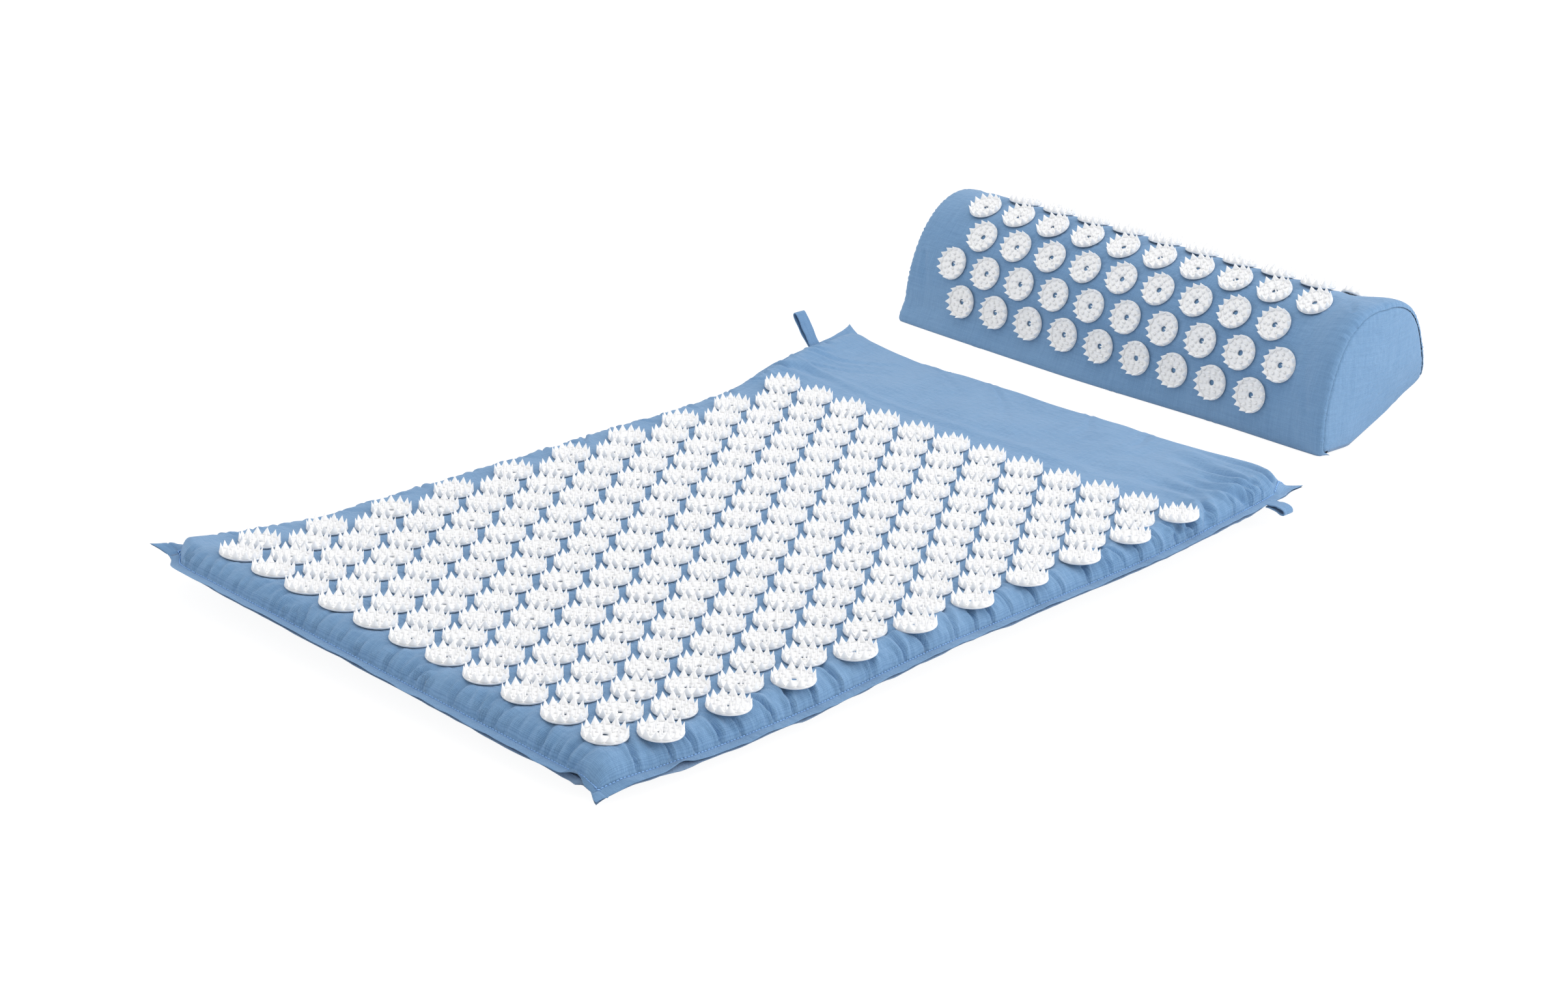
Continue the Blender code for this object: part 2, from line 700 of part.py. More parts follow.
def make_pillow_core(parent, foam):
    bm = bmesh.new()
    seam = PILLOW_SEAM_X - LINING
    left_rings, left_middle = dome_rings(bm, seam, LINING, -1)
    right_rings, right_middle = dome_rings(bm, seam, LINING, 1)
    between = []
    for k in range(1, CORE_RINGS - 1):
        x = seam * (2 * k / (CORE_RINGS - 1) - 1)
        between.append([bm.verts.new((x, y, z)) for y, z in closed_section(x, LINING)])
    order = left_rings[::-1] + between + right_rings
    for ring_a, ring_b in zip(order, order[1:]):
        bridge(bm, ring_a, ring_b)
    fan(bm, order[0], left_middle)
    fan(bm, order[-1], right_middle)
    bmesh.ops.recalc_face_normals(bm, faces=bm.faces[:])
    add_object("pillow_foam_core", bm, foam, parent)


def arch_angle_at(distance):
    """Angle on the arch at this length of cloth above the front corner."""
    steps = ARCH_CELLS * ARCH_CELLS
    gone = 0.0
    before = section_point(0.0, 0.0)
    for k in range(1, steps + 1):
        here = section_point(k * pi / steps, 0.0)
        piece = hypot(here[0] - before[0], here[1] - before[1])
        if gone + piece >= distance:
            return (k - 1 + (distance - gone) / piece) * pi / steps
        gone += piece
        before = here
    return pi


def pillow_disc_frame(x, angle):
    step = TINY_STEP
    turn = TINY_STEP / PILLOW_HEIGHT
    along_row = wrap_point(x + step, angle) - wrap_point(x - step, angle)
    across_row = wrap_point(x, angle + turn) - wrap_point(x, angle - turn)
    return disc_frame(wrap_point(x, angle), along_row, across_row)


def make_pillow_discs(parent, plastic):
    for row in range(1, PILLOW_ROWS + 1):
        count = PILLOW_LONG_ROW - 1 if row % 2 else PILLOW_LONG_ROW
        angle = arch_angle_at(PILLOW_FIRST_ROW + (row - 1) * PILLOW_ROW_PITCH)
        frames = [pillow_disc_frame(x, angle) for x in row_places(count, PILLOW_DISC_PITCH)]
        add_object(f"pillow_disc_row_{row}", disc_row_mesh(frames), plastic, parent)


def main():
    clear_scene()
    fabric = make_material("blue_cotton", (0.17, 0.32, 0.52), 0.9)
    lining = make_material("blue_underside_cotton", (0.15, 0.27, 0.43), 0.92)
    foam = make_material("cream_foam", (0.86, 0.80, 0.62), 0.95)
    plastic = make_material("white_disc_plastic", (0.86, 0.87, 0.89), 0.35)
    tape_cloth = make_material("blue_zip_tape", (0.11, 0.22, 0.38), 0.8)
    metal = make_material("painted_zip_metal", (0.30, 0.42, 0.56), 0.4, 0.3)

    make_mat_core(foam)
    make_mat_cover(fabric, lining)
    make_mat_discs(plastic)
    make_loop("mat_hanging_loop_left", -1, LEFT_LOOP_REACH, LEFT_LOOP_TILT, LEFT_LOOP_SAG, fabric)
    make_loop("mat_hanging_loop_right", 1, RIGHT_LOOP_REACH, RIGHT_LOOP_TILT, RIGHT_LOOP_SAG, fabric)
    mat_edge = plan(0, HALF_LENGTH) + Vector((0, 0, FLANGE_MIDDLE))
    make_zip("mat", mat_edge, TAPE_INSERT, MAT_ZIP_LENGTH, None, tape_cloth, metal)

    pillow = add_empty("pillow_frame", (PILLOW_X, PILLOW_Y, 0), yaw=PILLOW_YAW)
    make_pillow_core(pillow, foam)
    make_pillow_wrap(pillow, fabric)
    make_pillow_base(pillow, lining)
    make_pillow_end("pillow_end_panel_left", -1, pillow, fabric)
    make_pillow_end("pillow_end_panel_right", 1, pillow, fabric)
    make_pillow_discs(pillow, plastic)
    pillow_edge = Vector((0, PILLOW_DEPTH / 2, PILLOW_CORNER - FLANGE_SPLIT / 2))
    make_zip("pillow", pillow_edge, CLOTH, PILLOW_ZIP_LENGTH, pillow, tape_cloth, metal)


main()
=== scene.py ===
# %% [markdown]
# # An acupressure mat with its bolster pillow
# The real set is a padded cotton mat, about 66 cm long, and a half-round pillow. Round white plastic
# discs with sharp spikes are fixed to both in staggered rows. This lesson dresses a ready rigid model in
# finer pieces: the script loads that model as a frame, and hides each plain piece that a new piece
# stands for. All lengths are in metres.

# %% Load the frame
from math import asin, cos, pi, radians, sin

import bpy
import numpy as np
from mathutils import Matrix, Vector


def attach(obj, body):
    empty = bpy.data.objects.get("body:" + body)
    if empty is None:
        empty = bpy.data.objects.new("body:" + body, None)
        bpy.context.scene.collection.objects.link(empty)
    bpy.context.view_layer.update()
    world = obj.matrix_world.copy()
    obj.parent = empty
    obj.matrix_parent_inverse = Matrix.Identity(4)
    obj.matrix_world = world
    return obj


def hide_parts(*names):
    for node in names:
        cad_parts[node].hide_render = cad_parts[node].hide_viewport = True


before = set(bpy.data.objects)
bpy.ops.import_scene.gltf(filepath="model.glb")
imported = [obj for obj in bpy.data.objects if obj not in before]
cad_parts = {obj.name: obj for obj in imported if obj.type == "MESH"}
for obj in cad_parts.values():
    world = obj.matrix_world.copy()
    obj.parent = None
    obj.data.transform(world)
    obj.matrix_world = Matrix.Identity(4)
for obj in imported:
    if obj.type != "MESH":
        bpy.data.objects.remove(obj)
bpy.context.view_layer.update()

scene = bpy.context.scene

# %% [markdown]
# ## Camera
# The photograph was taken from a low, distant place with a long lens, so the rows of discs hardly
# converge. The angles below were solved from the disc pattern, which is a flat, even grid. The camera
# is turned a little about its own axis as well, because the photographer's camera was not quite level.

# %% Camera
MM = 0.001
CAMERA_PLACE = Vector((1.1599, -1.2337, 0.6790))
CAMERA_AZIMUTH = radians(43.105)
CAMERA_ELEVATION = radians(20.671)
CAMERA_ROLL = radians(1.776)
CAMERA_LENS = 65.617


def add_camera():
    camera_data = bpy.data.cameras.new("studio_camera")
    camera_data.lens = CAMERA_LENS
    camera_data.sensor_width = 36
    camera_data.clip_end = 60
    back = Vector((
        sin(CAMERA_AZIMUTH) * cos(CAMERA_ELEVATION),
        -cos(CAMERA_AZIMUTH) * cos(CAMERA_ELEVATION),
        sin(CAMERA_ELEVATION),
    ))
    right = Vector((cos(CAMERA_AZIMUTH), sin(CAMERA_AZIMUTH), 0))
    up = back.cross(right)
    across = right * cos(CAMERA_ROLL) + up * sin(CAMERA_ROLL)
    upright = up * cos(CAMERA_ROLL) - right * sin(CAMERA_ROLL)
    camera = bpy.data.objects.new("studio_camera", camera_data)
    turned = Matrix((across, upright, back)).transposed().to_4x4()
    camera.matrix_world = Matrix.Translation(CAMERA_PLACE) @ turned
    scene.collection.objects.link(camera)
    scene.camera = camera


add_camera()
print("camera at", tuple(round(value, 3) for value in CAMERA_PLACE))

# %% [markdown]
# ## Meshes from tables of points
# A sewn cover is a sheet, so it can be written as a table of points, row by row and column by column.
# NumPy fills such a table at once, and one helper turns it into a mesh. The helper also keeps the flat
# pattern, in metres, as the UV map called cloth_plan: the weave is drawn on it later, so the threads
# keep their true size and run with the cloth, not with the world.

# %% Mesh helpers
def mesh_piece(name, points, faces, pattern=None, sharp=None):
    mesh = bpy.data.meshes.new(name)
    mesh.from_pydata(np.asarray(points).tolist(), [], [list(map(int, face)) for face in faces])
    if pattern is not None:
        layer = mesh.uv_layers.new(name="cloth_plan")
        corners = np.empty(len(mesh.loops), dtype=np.int32)
        mesh.loops.foreach_get("vertex_index", corners)
        layer.uv.foreach_set("vector", np.asarray(pattern, dtype=np.float32)[corners].ravel())
    mesh.shade_smooth()
    if sharp is not None:
        mesh.set_sharp_from_angle(angle=sharp)
    piece = bpy.data.objects.new(name, mesh)
    scene.collection.objects.link(piece)
    return piece


def grid_faces(rows, columns, closed=False, looped=False):
    """The quads of a table of points. A closed one joins its end columns, a looped one its end rows."""
    index = np.arange(rows * columns).reshape(rows, columns)
    if looped:
        index = np.concatenate((index, index[:1]), axis=0)
    if closed:
        index = np.concatenate((index, index[:, :1]), axis=1)
    corners = (index[:-1, :-1], index[:-1, 1:], index[1:, 1:], index[1:, :-1])
    return np.stack(corners, axis=-1).reshape(-1, 4)


def capped_faces(rings, sides):
    """The faces of a tube of rings, with one flat face at each end."""
    last = (rings - 1) * sides
    faces = grid_faces(rings, sides, closed=True).tolist()
    return faces + [list(range(sides))[::-1], list(range(last, last + sides))]


def end_fans(rings, sides):
    """Triangles that close a tube of rings round two middle points, which follow the rings."""
    last, bottom = (rings - 1) * sides, rings * sides
    fans = []
    for k in range(sides):
        after = (k + 1) % sides
        fans.append([after, k, bottom])
        fans.append([last + k, last + after, bottom + 1])
    return fans


def join_parts(parts):
    """One table of points and one list of faces from several of them."""
    points, faces = [], []
    base = 0
    for part_points, part_faces in parts:
        points.append(np.asarray(part_points))
        faces.extend([[corner + base for corner in face] for face in part_faces])
        base += len(part_points)
    return np.concatenate(points), faces


def lengths_along(x, y):
    """The length of a line up to each of its points."""
    return np.concatenate(([0.0], np.cumsum(np.hypot(np.diff(x), np.diff(y)))))


def cloth_piece(name, points, pattern, face_down=False):
    """A sheet of cloth from a table of points and the same table on the flat pattern."""
    rows, columns = points.shape[:2]
    faces = grid_faces(rows, columns)
    if face_down:
        faces = faces[:, ::-1]
    return mesh_piece(name, points.reshape(-1, 3), faces, pattern.reshape(-1, 2))


def sheet_normals(points):
    """Unit normals of a table of points, from the steps to its neighbours."""
    along_rows = np.gradient(points, axis=1)
    along_columns = np.gradient(points, axis=0)
    normal = np.cross(along_rows, along_columns)
    return normal / np.maximum(np.linalg.norm(normal, axis=2, keepdims=True), 1e-12)


print("mesh helpers ready")

# %% [markdown]
# ## Smooth chance
# Cloth is never quite even, so small random changes make it look real. Two helpers give them: one is a
# smooth random line, for the waves of a seam, and one a smooth random surface, for soft hollows. Both
# start from a fixed seed, so each run of the script gives the same cloth.

# %% Smooth random lines and surfaces
def ease(value):
    value = np.clip(value, 0.0, 1.0)
    return value * value * (3 - 2 * value)


def wander(distance, step, seed):
    """A smooth random line from -1 to 1, with a new value at every step of the distance."""
    knots = np.random.default_rng(seed).uniform(-1, 1, 2048)
    place = np.asarray(distance) / step + 900.0
    low = np.floor(place).astype(int)
    share = ease(place - low)
    return knots[low % 2048] * (1 - share) + knots[(low + 1) % 2048] * share


def hollows(across, along, size, seed):
    """A smooth random surface from -1 to 1, whose bumps are about this size."""
    knots = np.random.default_rng(seed).uniform(-1, 1, (256, 256))
    place_a = across / size + 100.0
    place_b = along / size + 100.0
    low_a = np.floor(place_a).astype(int)
    low_b = np.floor(place_b).astype(int)
    share_a = ease(place_a - low_a)
    share_b = ease(place_b - low_b)
    a, next_a = low_a % 256, (low_a + 1) % 256
    b, next_b = low_b % 256, (low_b + 1) % 256
    this_row = knots[a, b] * (1 - share_a) + knots[next_a, b] * share_a
    next_row = knots[a, next_b] * (1 - share_a) + knots[next_a, next_b] * share_a
    return this_row * (1 - share_b) + next_row * share_b


print("one wander:", np.round(wander(np.arange(4) * 0.01, 0.02, 1), 3))

# %% [markdown]
# ## The mat's flat pattern
# The cover is two cloths sewn together 8 mm inside their edges. The foam lifts them into a cushion, and
# the strip outside the seam stays flat as a flange. The first function says how high the cushion is at
# each distance inside the seam, and the second where each point of the flat pattern lies on the floor:
# the mat is a little crooked, its corners stick out as ears and some of them curl off the floor.

# %% Sizes of the mat
HALF_WIDTH = 207.5 * MM
HALF_LENGTH = 330.0 * MM
FLANGE = 8.0 * MM
SEAM_X = HALF_WIDTH - FLANGE
SEAM_Y = HALF_LENGTH - FLANGE
MAT_HEIGHT = 21.0 * MM
FLANGE_TOP = 9.0 * MM
FLANGE_LOW = 6.2 * MM
SHOULDER = 14.0 * MM
HEAD_FULLER = 5.5 * MM
LOOP_Y = 280.0 * MM
FULL_CORNER = 5.0 * MM
SHOULDER_POWER, LEFT_SHOULDER_POWER = 1.65, 2.3


def swell(inset, power=SHOULDER_POWER):
    """Share of the full height at a distance inside the seam. A greater power makes a squarer shoulder."""
    reached = np.clip(inset / SHOULDER, 0.0, 1.0)
    return (1 - (1 - reached) ** power) ** (1 / power)


def fullness(u, v, inset=0.0):
    """Share of the full height anywhere on the pattern. The head and its right corner are fuller."""
    head_seam = SEAM_Y + np.where(v > 0, HEAD_FULLER, 0.0)
    corner = ease((v - 285 * MM) / (32 * MM)) * (u > 0)
    side = SEAM_X - np.abs(u) - inset + FULL_CORNER * corner
    across = np.where(u > 0, swell(side), swell(side, LEFT_SHOULDER_POWER))
    return across * swell(head_seam - np.abs(v) - inset)


def past(value, start):
    """0 up to the start, and then rising ever faster to 1."""
    return np.maximum(0.0, (value - start) / (1 - start)) ** 2


def between(value, rise_from, rise_to, fade_from, fade_to):
    """Rises smoothly from 0 to 1, and falls back to 0 further on."""
    risen = ease((value - rise_from) / (rise_to - rise_from))
    return risen * (1 - ease((value - fade_from) / (fade_to - fade_from)))


def lift(u, v):
    """Height by which the mat curls off the floor at its foot, its sides and its head."""
    across = u / HALF_WIDTH
    along = v / HALF_LENGTH
    foot = 9.6 * MM * (1 - 0.765 * across) * past(-along, 0.55)
    side = 5 * MM * past(across, 0.4) * between(along, -0.55, -0.15, 0.88, 1.0)
    band = (1 * MM + 5.5 * MM * past(-across, 0.1)) * between(along, 0.4, 0.64, 0.75, 1.0)
    loop = 6 * MM * past(-across, 0.7) * between(along, 0.55, 0.75, 0.9, 1.0)
    return foot + side + band + loop + 9 * MM * past(-across, 0.6) * past(along, 0.45)


def plan(u, v):
    """Where a point of the flat pattern lies: x, y and the height that its corner has curled up."""
    across = np.abs(u) / HALF_WIDTH
    along = np.abs(v) / HALF_LENGTH
    near_corner = np.logical_and(u > 0, v < 0)
    ear = (across * along) ** np.where(v > 0, 15, 24) * np.where(near_corner, 0.15, 1.0)
    drawn = 3 * MM * across**6 * (1 - along**2)
    skewed = 10 * MM + 20 * MM * past(v / HALF_LENGTH, 0.3)
    x = u + (10 * MM * ear - drawn) * np.sign(u) - skewed
    y = v + 10 * MM * ear * np.sign(v)
    return x, y, lift(u, v) + 5 * MM * ear


def pattern_place(x, y):
    """The flat pattern's u and v under a place on the floor, found by stepping back to it."""
    u, v = x, y
    for _ in range(6):
        reached = plan(u, v)
        u = u + x - reached[0]
        v = v + y - reached[1]
    return u, v


print("near corner of the mat:", [round(float(part), 4) for part in plan(HALF_WIDTH, -HALF_LENGTH)])

# %% [markdown]
# ## Where the discs sit
# The mat has 20 rows, of 12 and 11 discs in turn, and the pillow 7 rows of 9 and 10. Each disc needs a
# small frame of its own: a place on the cloth and the direction that its spikes point in. The frames are
# worked out before the cloth, because the cloth dips under each disc and wrinkles round it.

# %% Disc frames on the mat
DISC_RADIUS = 13.0 * MM
SEAT_GAP = 0.4 * MM
DISC_PITCH = 32.0 * MM
ROW_PITCH = 25.6 * MM
HEAD_MARGIN = 141.6 * MM


def row_places(count, pitch):
    """Places of a row's discs, even on both sides of the middle."""
    return [(number - (count - 1) / 2) * pitch for number in range(count)]


def seated_frame(origin, along_row, across_row):
    """A disc's own frame, a little above the cloth, from two directions along the cloth."""
    x_axis = Vector(along_row).normalized()
    z_axis = x_axis.cross(Vector(across_row)).normalized()
    y_axis = z_axis.cross(x_axis)
    turned = Matrix((x_axis, y_axis, z_axis)).transposed().to_4x4()
    return Matrix.Translation(Vector(origin) + z_axis * SEAT_GAP) @ turned


def lift_at(x, y):
    return float(lift(*pattern_place(x, y)))


def mat_disc_frame(x, y):
    step = 0.1 * MM
    slope_x = lift_at(x + step, y) - lift_at(x - step, y)
    slope_y = lift_at(x, y + step) - lift_at(x, y - step)
    origin = (x, y, MAT_HEIGHT + lift_at(x, y))
    return seated_frame(origin, (2 * step, 0, slope_x), (0, 2 * step, slope_y))


mat_rows = []
for row in range(1, 21):
    row_y = HALF_LENGTH - HEAD_MARGIN - (row - 1) * ROW_PITCH
    row_count = 12 if row % 2 else 11
    mat_rows.append([mat_disc_frame(x, row_y) for x in row_places(row_count, DISC_PITCH)])
print("discs on the mat:", sum(len(row) for row in mat_rows))

# %% [markdown]
# ## Puckers and folds
# Sewing thread pulls a seam shorter than the cloth beside it, so the cloth buckles into small valleys
# that start at the stitches and fade out over the cushion. Each one is drawn here as a curved path with
# a width and a depth: the cloth sinks along the path and swells a little on both sides. The puckers are
# laid by chance, about as far apart and as deep as the photograph shows. The long folds of the head band
# are laid one by one where it shows them, which a cloth simulation would not do.

# %% Fold helper
class FoldedSheet:
    """A table of heights over the flat pattern, on which folds and dips are drawn one by one."""

    def __init__(self, across, along):
        self.across = across
        self.along = along
        self.u, self.v = np.meshgrid(across, along)
        self.height = np.zeros_like(self.u)

    def window(self, low_u, high_u, low_v, high_v):
        columns = slice(*np.searchsorted(self.across, (low_u, high_u)))
        rows = slice(*np.searchsorted(self.along, (low_v, high_v)))
        return rows, columns

    def fold(self, path, width, depth, bank=0.45, keep=0.0):
        """A valley along a path of (u, v) points. It starts narrow and deep, and fades to its end."""
        path = np.asarray(path)
        reach = 4.5 * width
        low = path.min(axis=0) - reach
        high = path.max(axis=0) + reach
        part = self.window(low[0], high[0], low[1], high[1])
        u, v = self.u[part], self.v[part]
        if u.size == 0:
            return
        lengths = np.linalg.norm(np.diff(path, axis=0), axis=1)
        whole = lengths.sum()
        nearest = np.full(u.shape, 1e9)
        share = np.zeros(u.shape)
        gone = 0.0
        for start, end, length in zip(path, path[1:], lengths):
            step = (end - start) / length
            along = np.clip((u - start[0]) * step[0] + (v - start[1]) * step[1], 0, length)
            away = np.hypot(u - start[0] - along * step[0], v - start[1] - along * step[1])
            closer = away < nearest
            nearest = np.where(closer, away, nearest)
            share = np.where(closer, (gone + along) / whole, share)
            gone += length
        local = width * (0.65 + 0.9 * share)
        fade = (1 - share * (1 - keep)) ** 0.9 * (1 - ease((share - 0.8) / 0.2) * (1 - keep))
        valley = np.exp(-((nearest / local) ** 2))
        banks = np.exp(-(((nearest - 2.0 * local) / local) ** 2))
        self.height[part] += depth * fade * (bank * banks - valley)


print("fold helper ready")

# %% [markdown]
# ## The mat's upper cloth
# The sheet's lines are close together near the seam, where the cloth bends most, and wider in the
# middle. The folds are drawn on the flat pattern first. Then every point is moved out along the
# cushion's own normal, so that a pucker on the rounded side stands out sideways and not upwards.

# %% Lines of the cover's sheets
# how far inside the edge each line of the hem lies, and how deep
HEM = ((6.0 * MM, 0.62 * MM), (2.5 * MM, 0.62 * MM), (0.2 * MM, 0.52 * MM), (-0.3 * MM, 0.25 * MM))


def graded_lines(half, edge_run, edge_step, middle_step):
    """Places from -half to half, closer together along the run at each edge."""
    edge = np.linspace(half, half - edge_run, round(edge_run / edge_step) + 1)
    inner = half - edge_run
    middle = np.linspace(-inner, inner, round(2 * inner / middle_step) + 1)[1:-1]
    return np.concatenate((-edge, middle, edge[::-1]))


def hemmed_lines(lines, half):
    """Adds the lines of the hem, which is folded back under the edge, and how deep each one lies."""
    places = np.array([half - inset for inset, _ in HEM])
    drops = np.array([drop for _, drop in HEM])
    full = np.concatenate((-places, lines, places[::-1]))
    return full, np.concatenate((drops, np.zeros(len(lines)), drops[::-1]))


EDGE_RUN = 26 * MM
top_u = graded_lines(HALF_WIDTH, EDGE_RUN, 1.3 * MM, 2.3 * MM)
top_v = graded_lines(HALF_LENGTH, EDGE_RUN, 1.3 * MM, 1.43 * MM)
print("upper cloth:", len(top_u), "x", len(top_v), "lines")

# %% Folds of the upper cloth
def seam_pucker(sheet, side, place, rng, lengths, depths, widths):
    """One small valley that starts at the stitches of a side: left, right or foot."""
    length = rng.uniform(*lengths)
    slant = rng.normal(0, 0.28)
    bend = rng.normal(0, 0.012 / MM)
    inward = np.linspace(0, length, 6)
    sideways = place + slant * inward + bend * inward**2
    if side == "foot":
        path = np.stack((sideways, -SEAM_Y + 0.6 * MM + inward), axis=1)
    else:
        sign = 1 if side == "right" else -1
        path = np.stack((sign * (SEAM_X - 0.6 * MM - inward), sideways), axis=1)
    sheet.fold(path, rng.uniform(*widths), rng.uniform(*depths), bank=0.5)


def pucker_side(sheet, side, start, end, spacing, lengths, depths, widths, seed):
    """Puckers one after the other along a side. Each pair holds the least and the most of its kind."""
    rng = np.random.default_rng(seed)
    place = start + rng.uniform(0, spacing[1])
    count = 0
    while place < end:
        seam_pucker(sheet, side, place, rng, lengths, depths, widths)
        place += rng.uniform(*spacing)
        count += 1
    return count


top_sheet = FoldedSheet(top_u, top_v)
pucker_count = pucker_side(
    top_sheet, "foot", -180 * MM, 185 * MM, (5 * MM, 13 * MM), (7 * MM, 17 * MM),
    (1.8 * MM, 4.2 * MM), (1.3 * MM, 2.0 * MM), 11)
for side, seed, size in (("right", 12, 1.0), ("left", 13, 0.55)):
    pucker_count += pucker_side(
        top_sheet, side, -304 * MM, 296 * MM, (15 * MM, 28 * MM), (15 * MM, 26 * MM),
        (2.8 * size * MM, 4.8 * size * MM), (1.4 * MM, 2.1 * MM), seed)
    pucker_count += pucker_side(
        top_sheet, side, -304 * MM, 296 * MM, (6 * MM, 14 * MM), (6 * MM, 13 * MM),
        (0.4 * MM, 1.1 * MM), (1.3 * MM, 1.8 * MM), seed + 4)
print("puckers:", pucker_count)

# %% Long soft folds of the head band
BAND_DEEPER = 2.6
BAND_FOLDS = (
    # path in millimetres of the pattern, width, depth before it is made deeper
    (((205, 200), (198, 213), (188, 224), (172, 232), (150, 235), (126, 236)), 4.2, 1.5),
    (((207, 214), (199, 226), (188, 235), (176, 240), (160, 243)), 3.6, 1.3),
    (((200, 262), (190, 252), (176, 249), (158, 250), (138, 251)), 4.0, 1.2),
    (((194, 272), (184, 267), (172, 264), (156, 264)), 3.2, 0.9),
    (((190, 279), (176, 278), (158, 281), (140, 285), (112, 292)), 4.6, 1.5),
    (((196, 303), (180, 306), (160, 309), (132, 313), (108, 315)), 4.4, 1.2),
    (((199, 186), (191, 199), (180, 209), (164, 213)), 2.6, 1.1),
    (((199, 170), (194, 182), (190, 195)), 2.4, 1.0),
    (((-199, 214), (-180, 222), (-160, 226), (-130, 226)), 4.0, 0.7),
    (((-120, 318), (-90, 300), (-62, 276)), 2.2, 0.35),
    (((-60, 318), (-35, 296), (-16, 272), (-4, 250)), 2.0, 0.35),
    (((-190, 250), (-165, 262), (-140, 280), (-124, 300)), 2.4, 0.4),
    (((-178, 236), (-150, 250), (-118, 272)), 2.0, 0.3),
    (((30, 319), (44, 296), (50, 270)), 2.4, 0.3),
    (((84, 316), (90, 294), (86, 268)), 2.6, 0.35),
)
for path, width, depth in BAND_FOLDS:
    top_sheet.fold(np.array(path) * MM, width * MM, BAND_DEEPER * depth * MM, bank=0.6, keep=0.15)
RIDGE = (
    (-199, 236), (-170, 232), (-130, 228), (-90, 224), (-40, 223), (20, 224), (80, 223), (128, 220))
top_sheet.fold(np.array(RIDGE) * MM, 4.0 * MM, -1.0 * MM, bank=0.35, keep=0.7)
print("head band folds:", len(BAND_FOLDS) + 1)

# %% Dips and wrinkles round the discs
def wrinkle_discs(sheet, places, seed, size=1.0):
    """Presses the cloth in under each disc and draws small tension wrinkles out of its rim."""
    rng = np.random.default_rng(seed)
    for centre_u, centre_v in places:
        reach = 24 * MM
        part = sheet.window(centre_u - reach, centre_u + reach, centre_v - reach, centre_v + reach)
        du = sheet.u[part] - centre_u
        dv = sheet.v[part] - centre_v
        away = np.hypot(du, dv)
        angle = np.arctan2(dv, du)
        waves = rng.integers(15, 21)
        strength = np.zeros_like(angle)
        for lobe in range(1, 5):
            strength += rng.uniform(0.2, 0.6) * np.cos(lobe * angle + rng.uniform(0, 2 * pi))
        strength = np.clip(0.45 + strength * 0.8, 0.0, 1.5)
        bend = rng.uniform(-0.6, 0.6) * (away - DISC_RADIUS) / (8 * MM)
        ripple = np.cos(waves * angle + bend * 3 + rng.uniform(0, 2 * pi))
        fade = np.where(away > 12 * MM, np.exp(-np.abs(away - 13.6 * MM) / (3.4 * MM)), 0.0)
        fade *= ease((away - 11.5 * MM) / (1.8 * MM))
        mound = np.exp(-(((away - 17.0 * MM) / (2.6 * MM)) ** 2))
        press = 1 - ease((away - 12.0 * MM) / (2.5 * MM))
        wrinkle = 0.42 * MM * strength * ripple * fade
        sheet.height[part] += size * (wrinkle + 0.26 * MM * mound - 0.2 * MM * press)


mat_disc_places = []
for row in mat_rows:
    for disc in row:
        mat_disc_places.append(tuple(float(part) for part in pattern_place(disc[0][3], disc[1][3])))
wrinkle_discs(top_sheet, mat_disc_places, 21)
print("wrinkled round", len(mat_disc_places), "discs")

# %% [markdown]
# ## Flange and corners
# Outside the seam the two cloths lie loosely on each other. Their edges wave, and in some places they
# gape so that the lower one shows. The four corners differ in the photograph: the near one hangs down
# in a fold, the one left of it is drawn in and twisted, the head's left one lies nearly plain, and the
# head's right one is drawn in and droops. Both cloths use the same functions, so they stay together.

# %% Shape of the flange and the corners
TOP_PINCH = -0.9 * MM
LOW_PINCH = 0.25 * MM


def near(value, centre, width):
    """1 at the centre, and fading to 0 on both sides."""
    return np.exp(-(((value - centre) / width) ** 2))


def corner_weight(u, v, side_u, side_v, reach):
    """1 at the tip of one corner, and fading to 0 over its reach."""
    gone = np.hypot(HALF_WIDTH - np.abs(u), HALF_LENGTH - np.abs(v))
    inside = (np.sign(u) == side_u) & (np.sign(v) == side_v)
    return np.where(inside, np.exp(-0.5 * (gone / reach) ** 2), 0.0)


def corner_pull(u, v):
    """How far each corner is pulled away from its plain place, and how the foot's left one is twisted."""
    inset_u = HALF_WIDTH - np.abs(u)
    inset_v = HALF_LENGTH - np.abs(v)
    turn = (inset_v - inset_u) / np.sqrt(2)
    move = np.zeros(u.shape + (3,))
    folded = np.where((u > 0) & (v < 0), np.clip(1 - (inset_u + inset_v) / (28 * MM), 0.0, 1.1), 0.0)
    move += folded[..., None] * np.array((-6.0 * MM, 3.5 * MM, -7.4 * MM))
    drawn_in = np.exp(-0.5 * ((inset_u / (24 * MM)) ** 2 + (inset_v / (40 * MM)) ** 2))
    move[..., 0] -= np.where((u > 0) & (v < 0), drawn_in, 0.0) * 7.5 * MM
    tab = corner_weight(u, v, -1, -1, 14 * MM)
    move += tab[..., None] * np.array((8 * MM, 20 * MM, -4 * MM))
    move[..., 2] += 0.45 * turn * tab
    tab = corner_weight(u, v, -1, 1, 13 * MM)
    move += tab[..., None] * np.array((-2.5 * MM, 0.5 * MM, 0.5 * MM))
    tab = corner_weight(u, v, 1, 1, 17 * MM)
    move += tab[..., None] * np.array((-13 * MM, -8 * MM, -3 * MM))
    return move


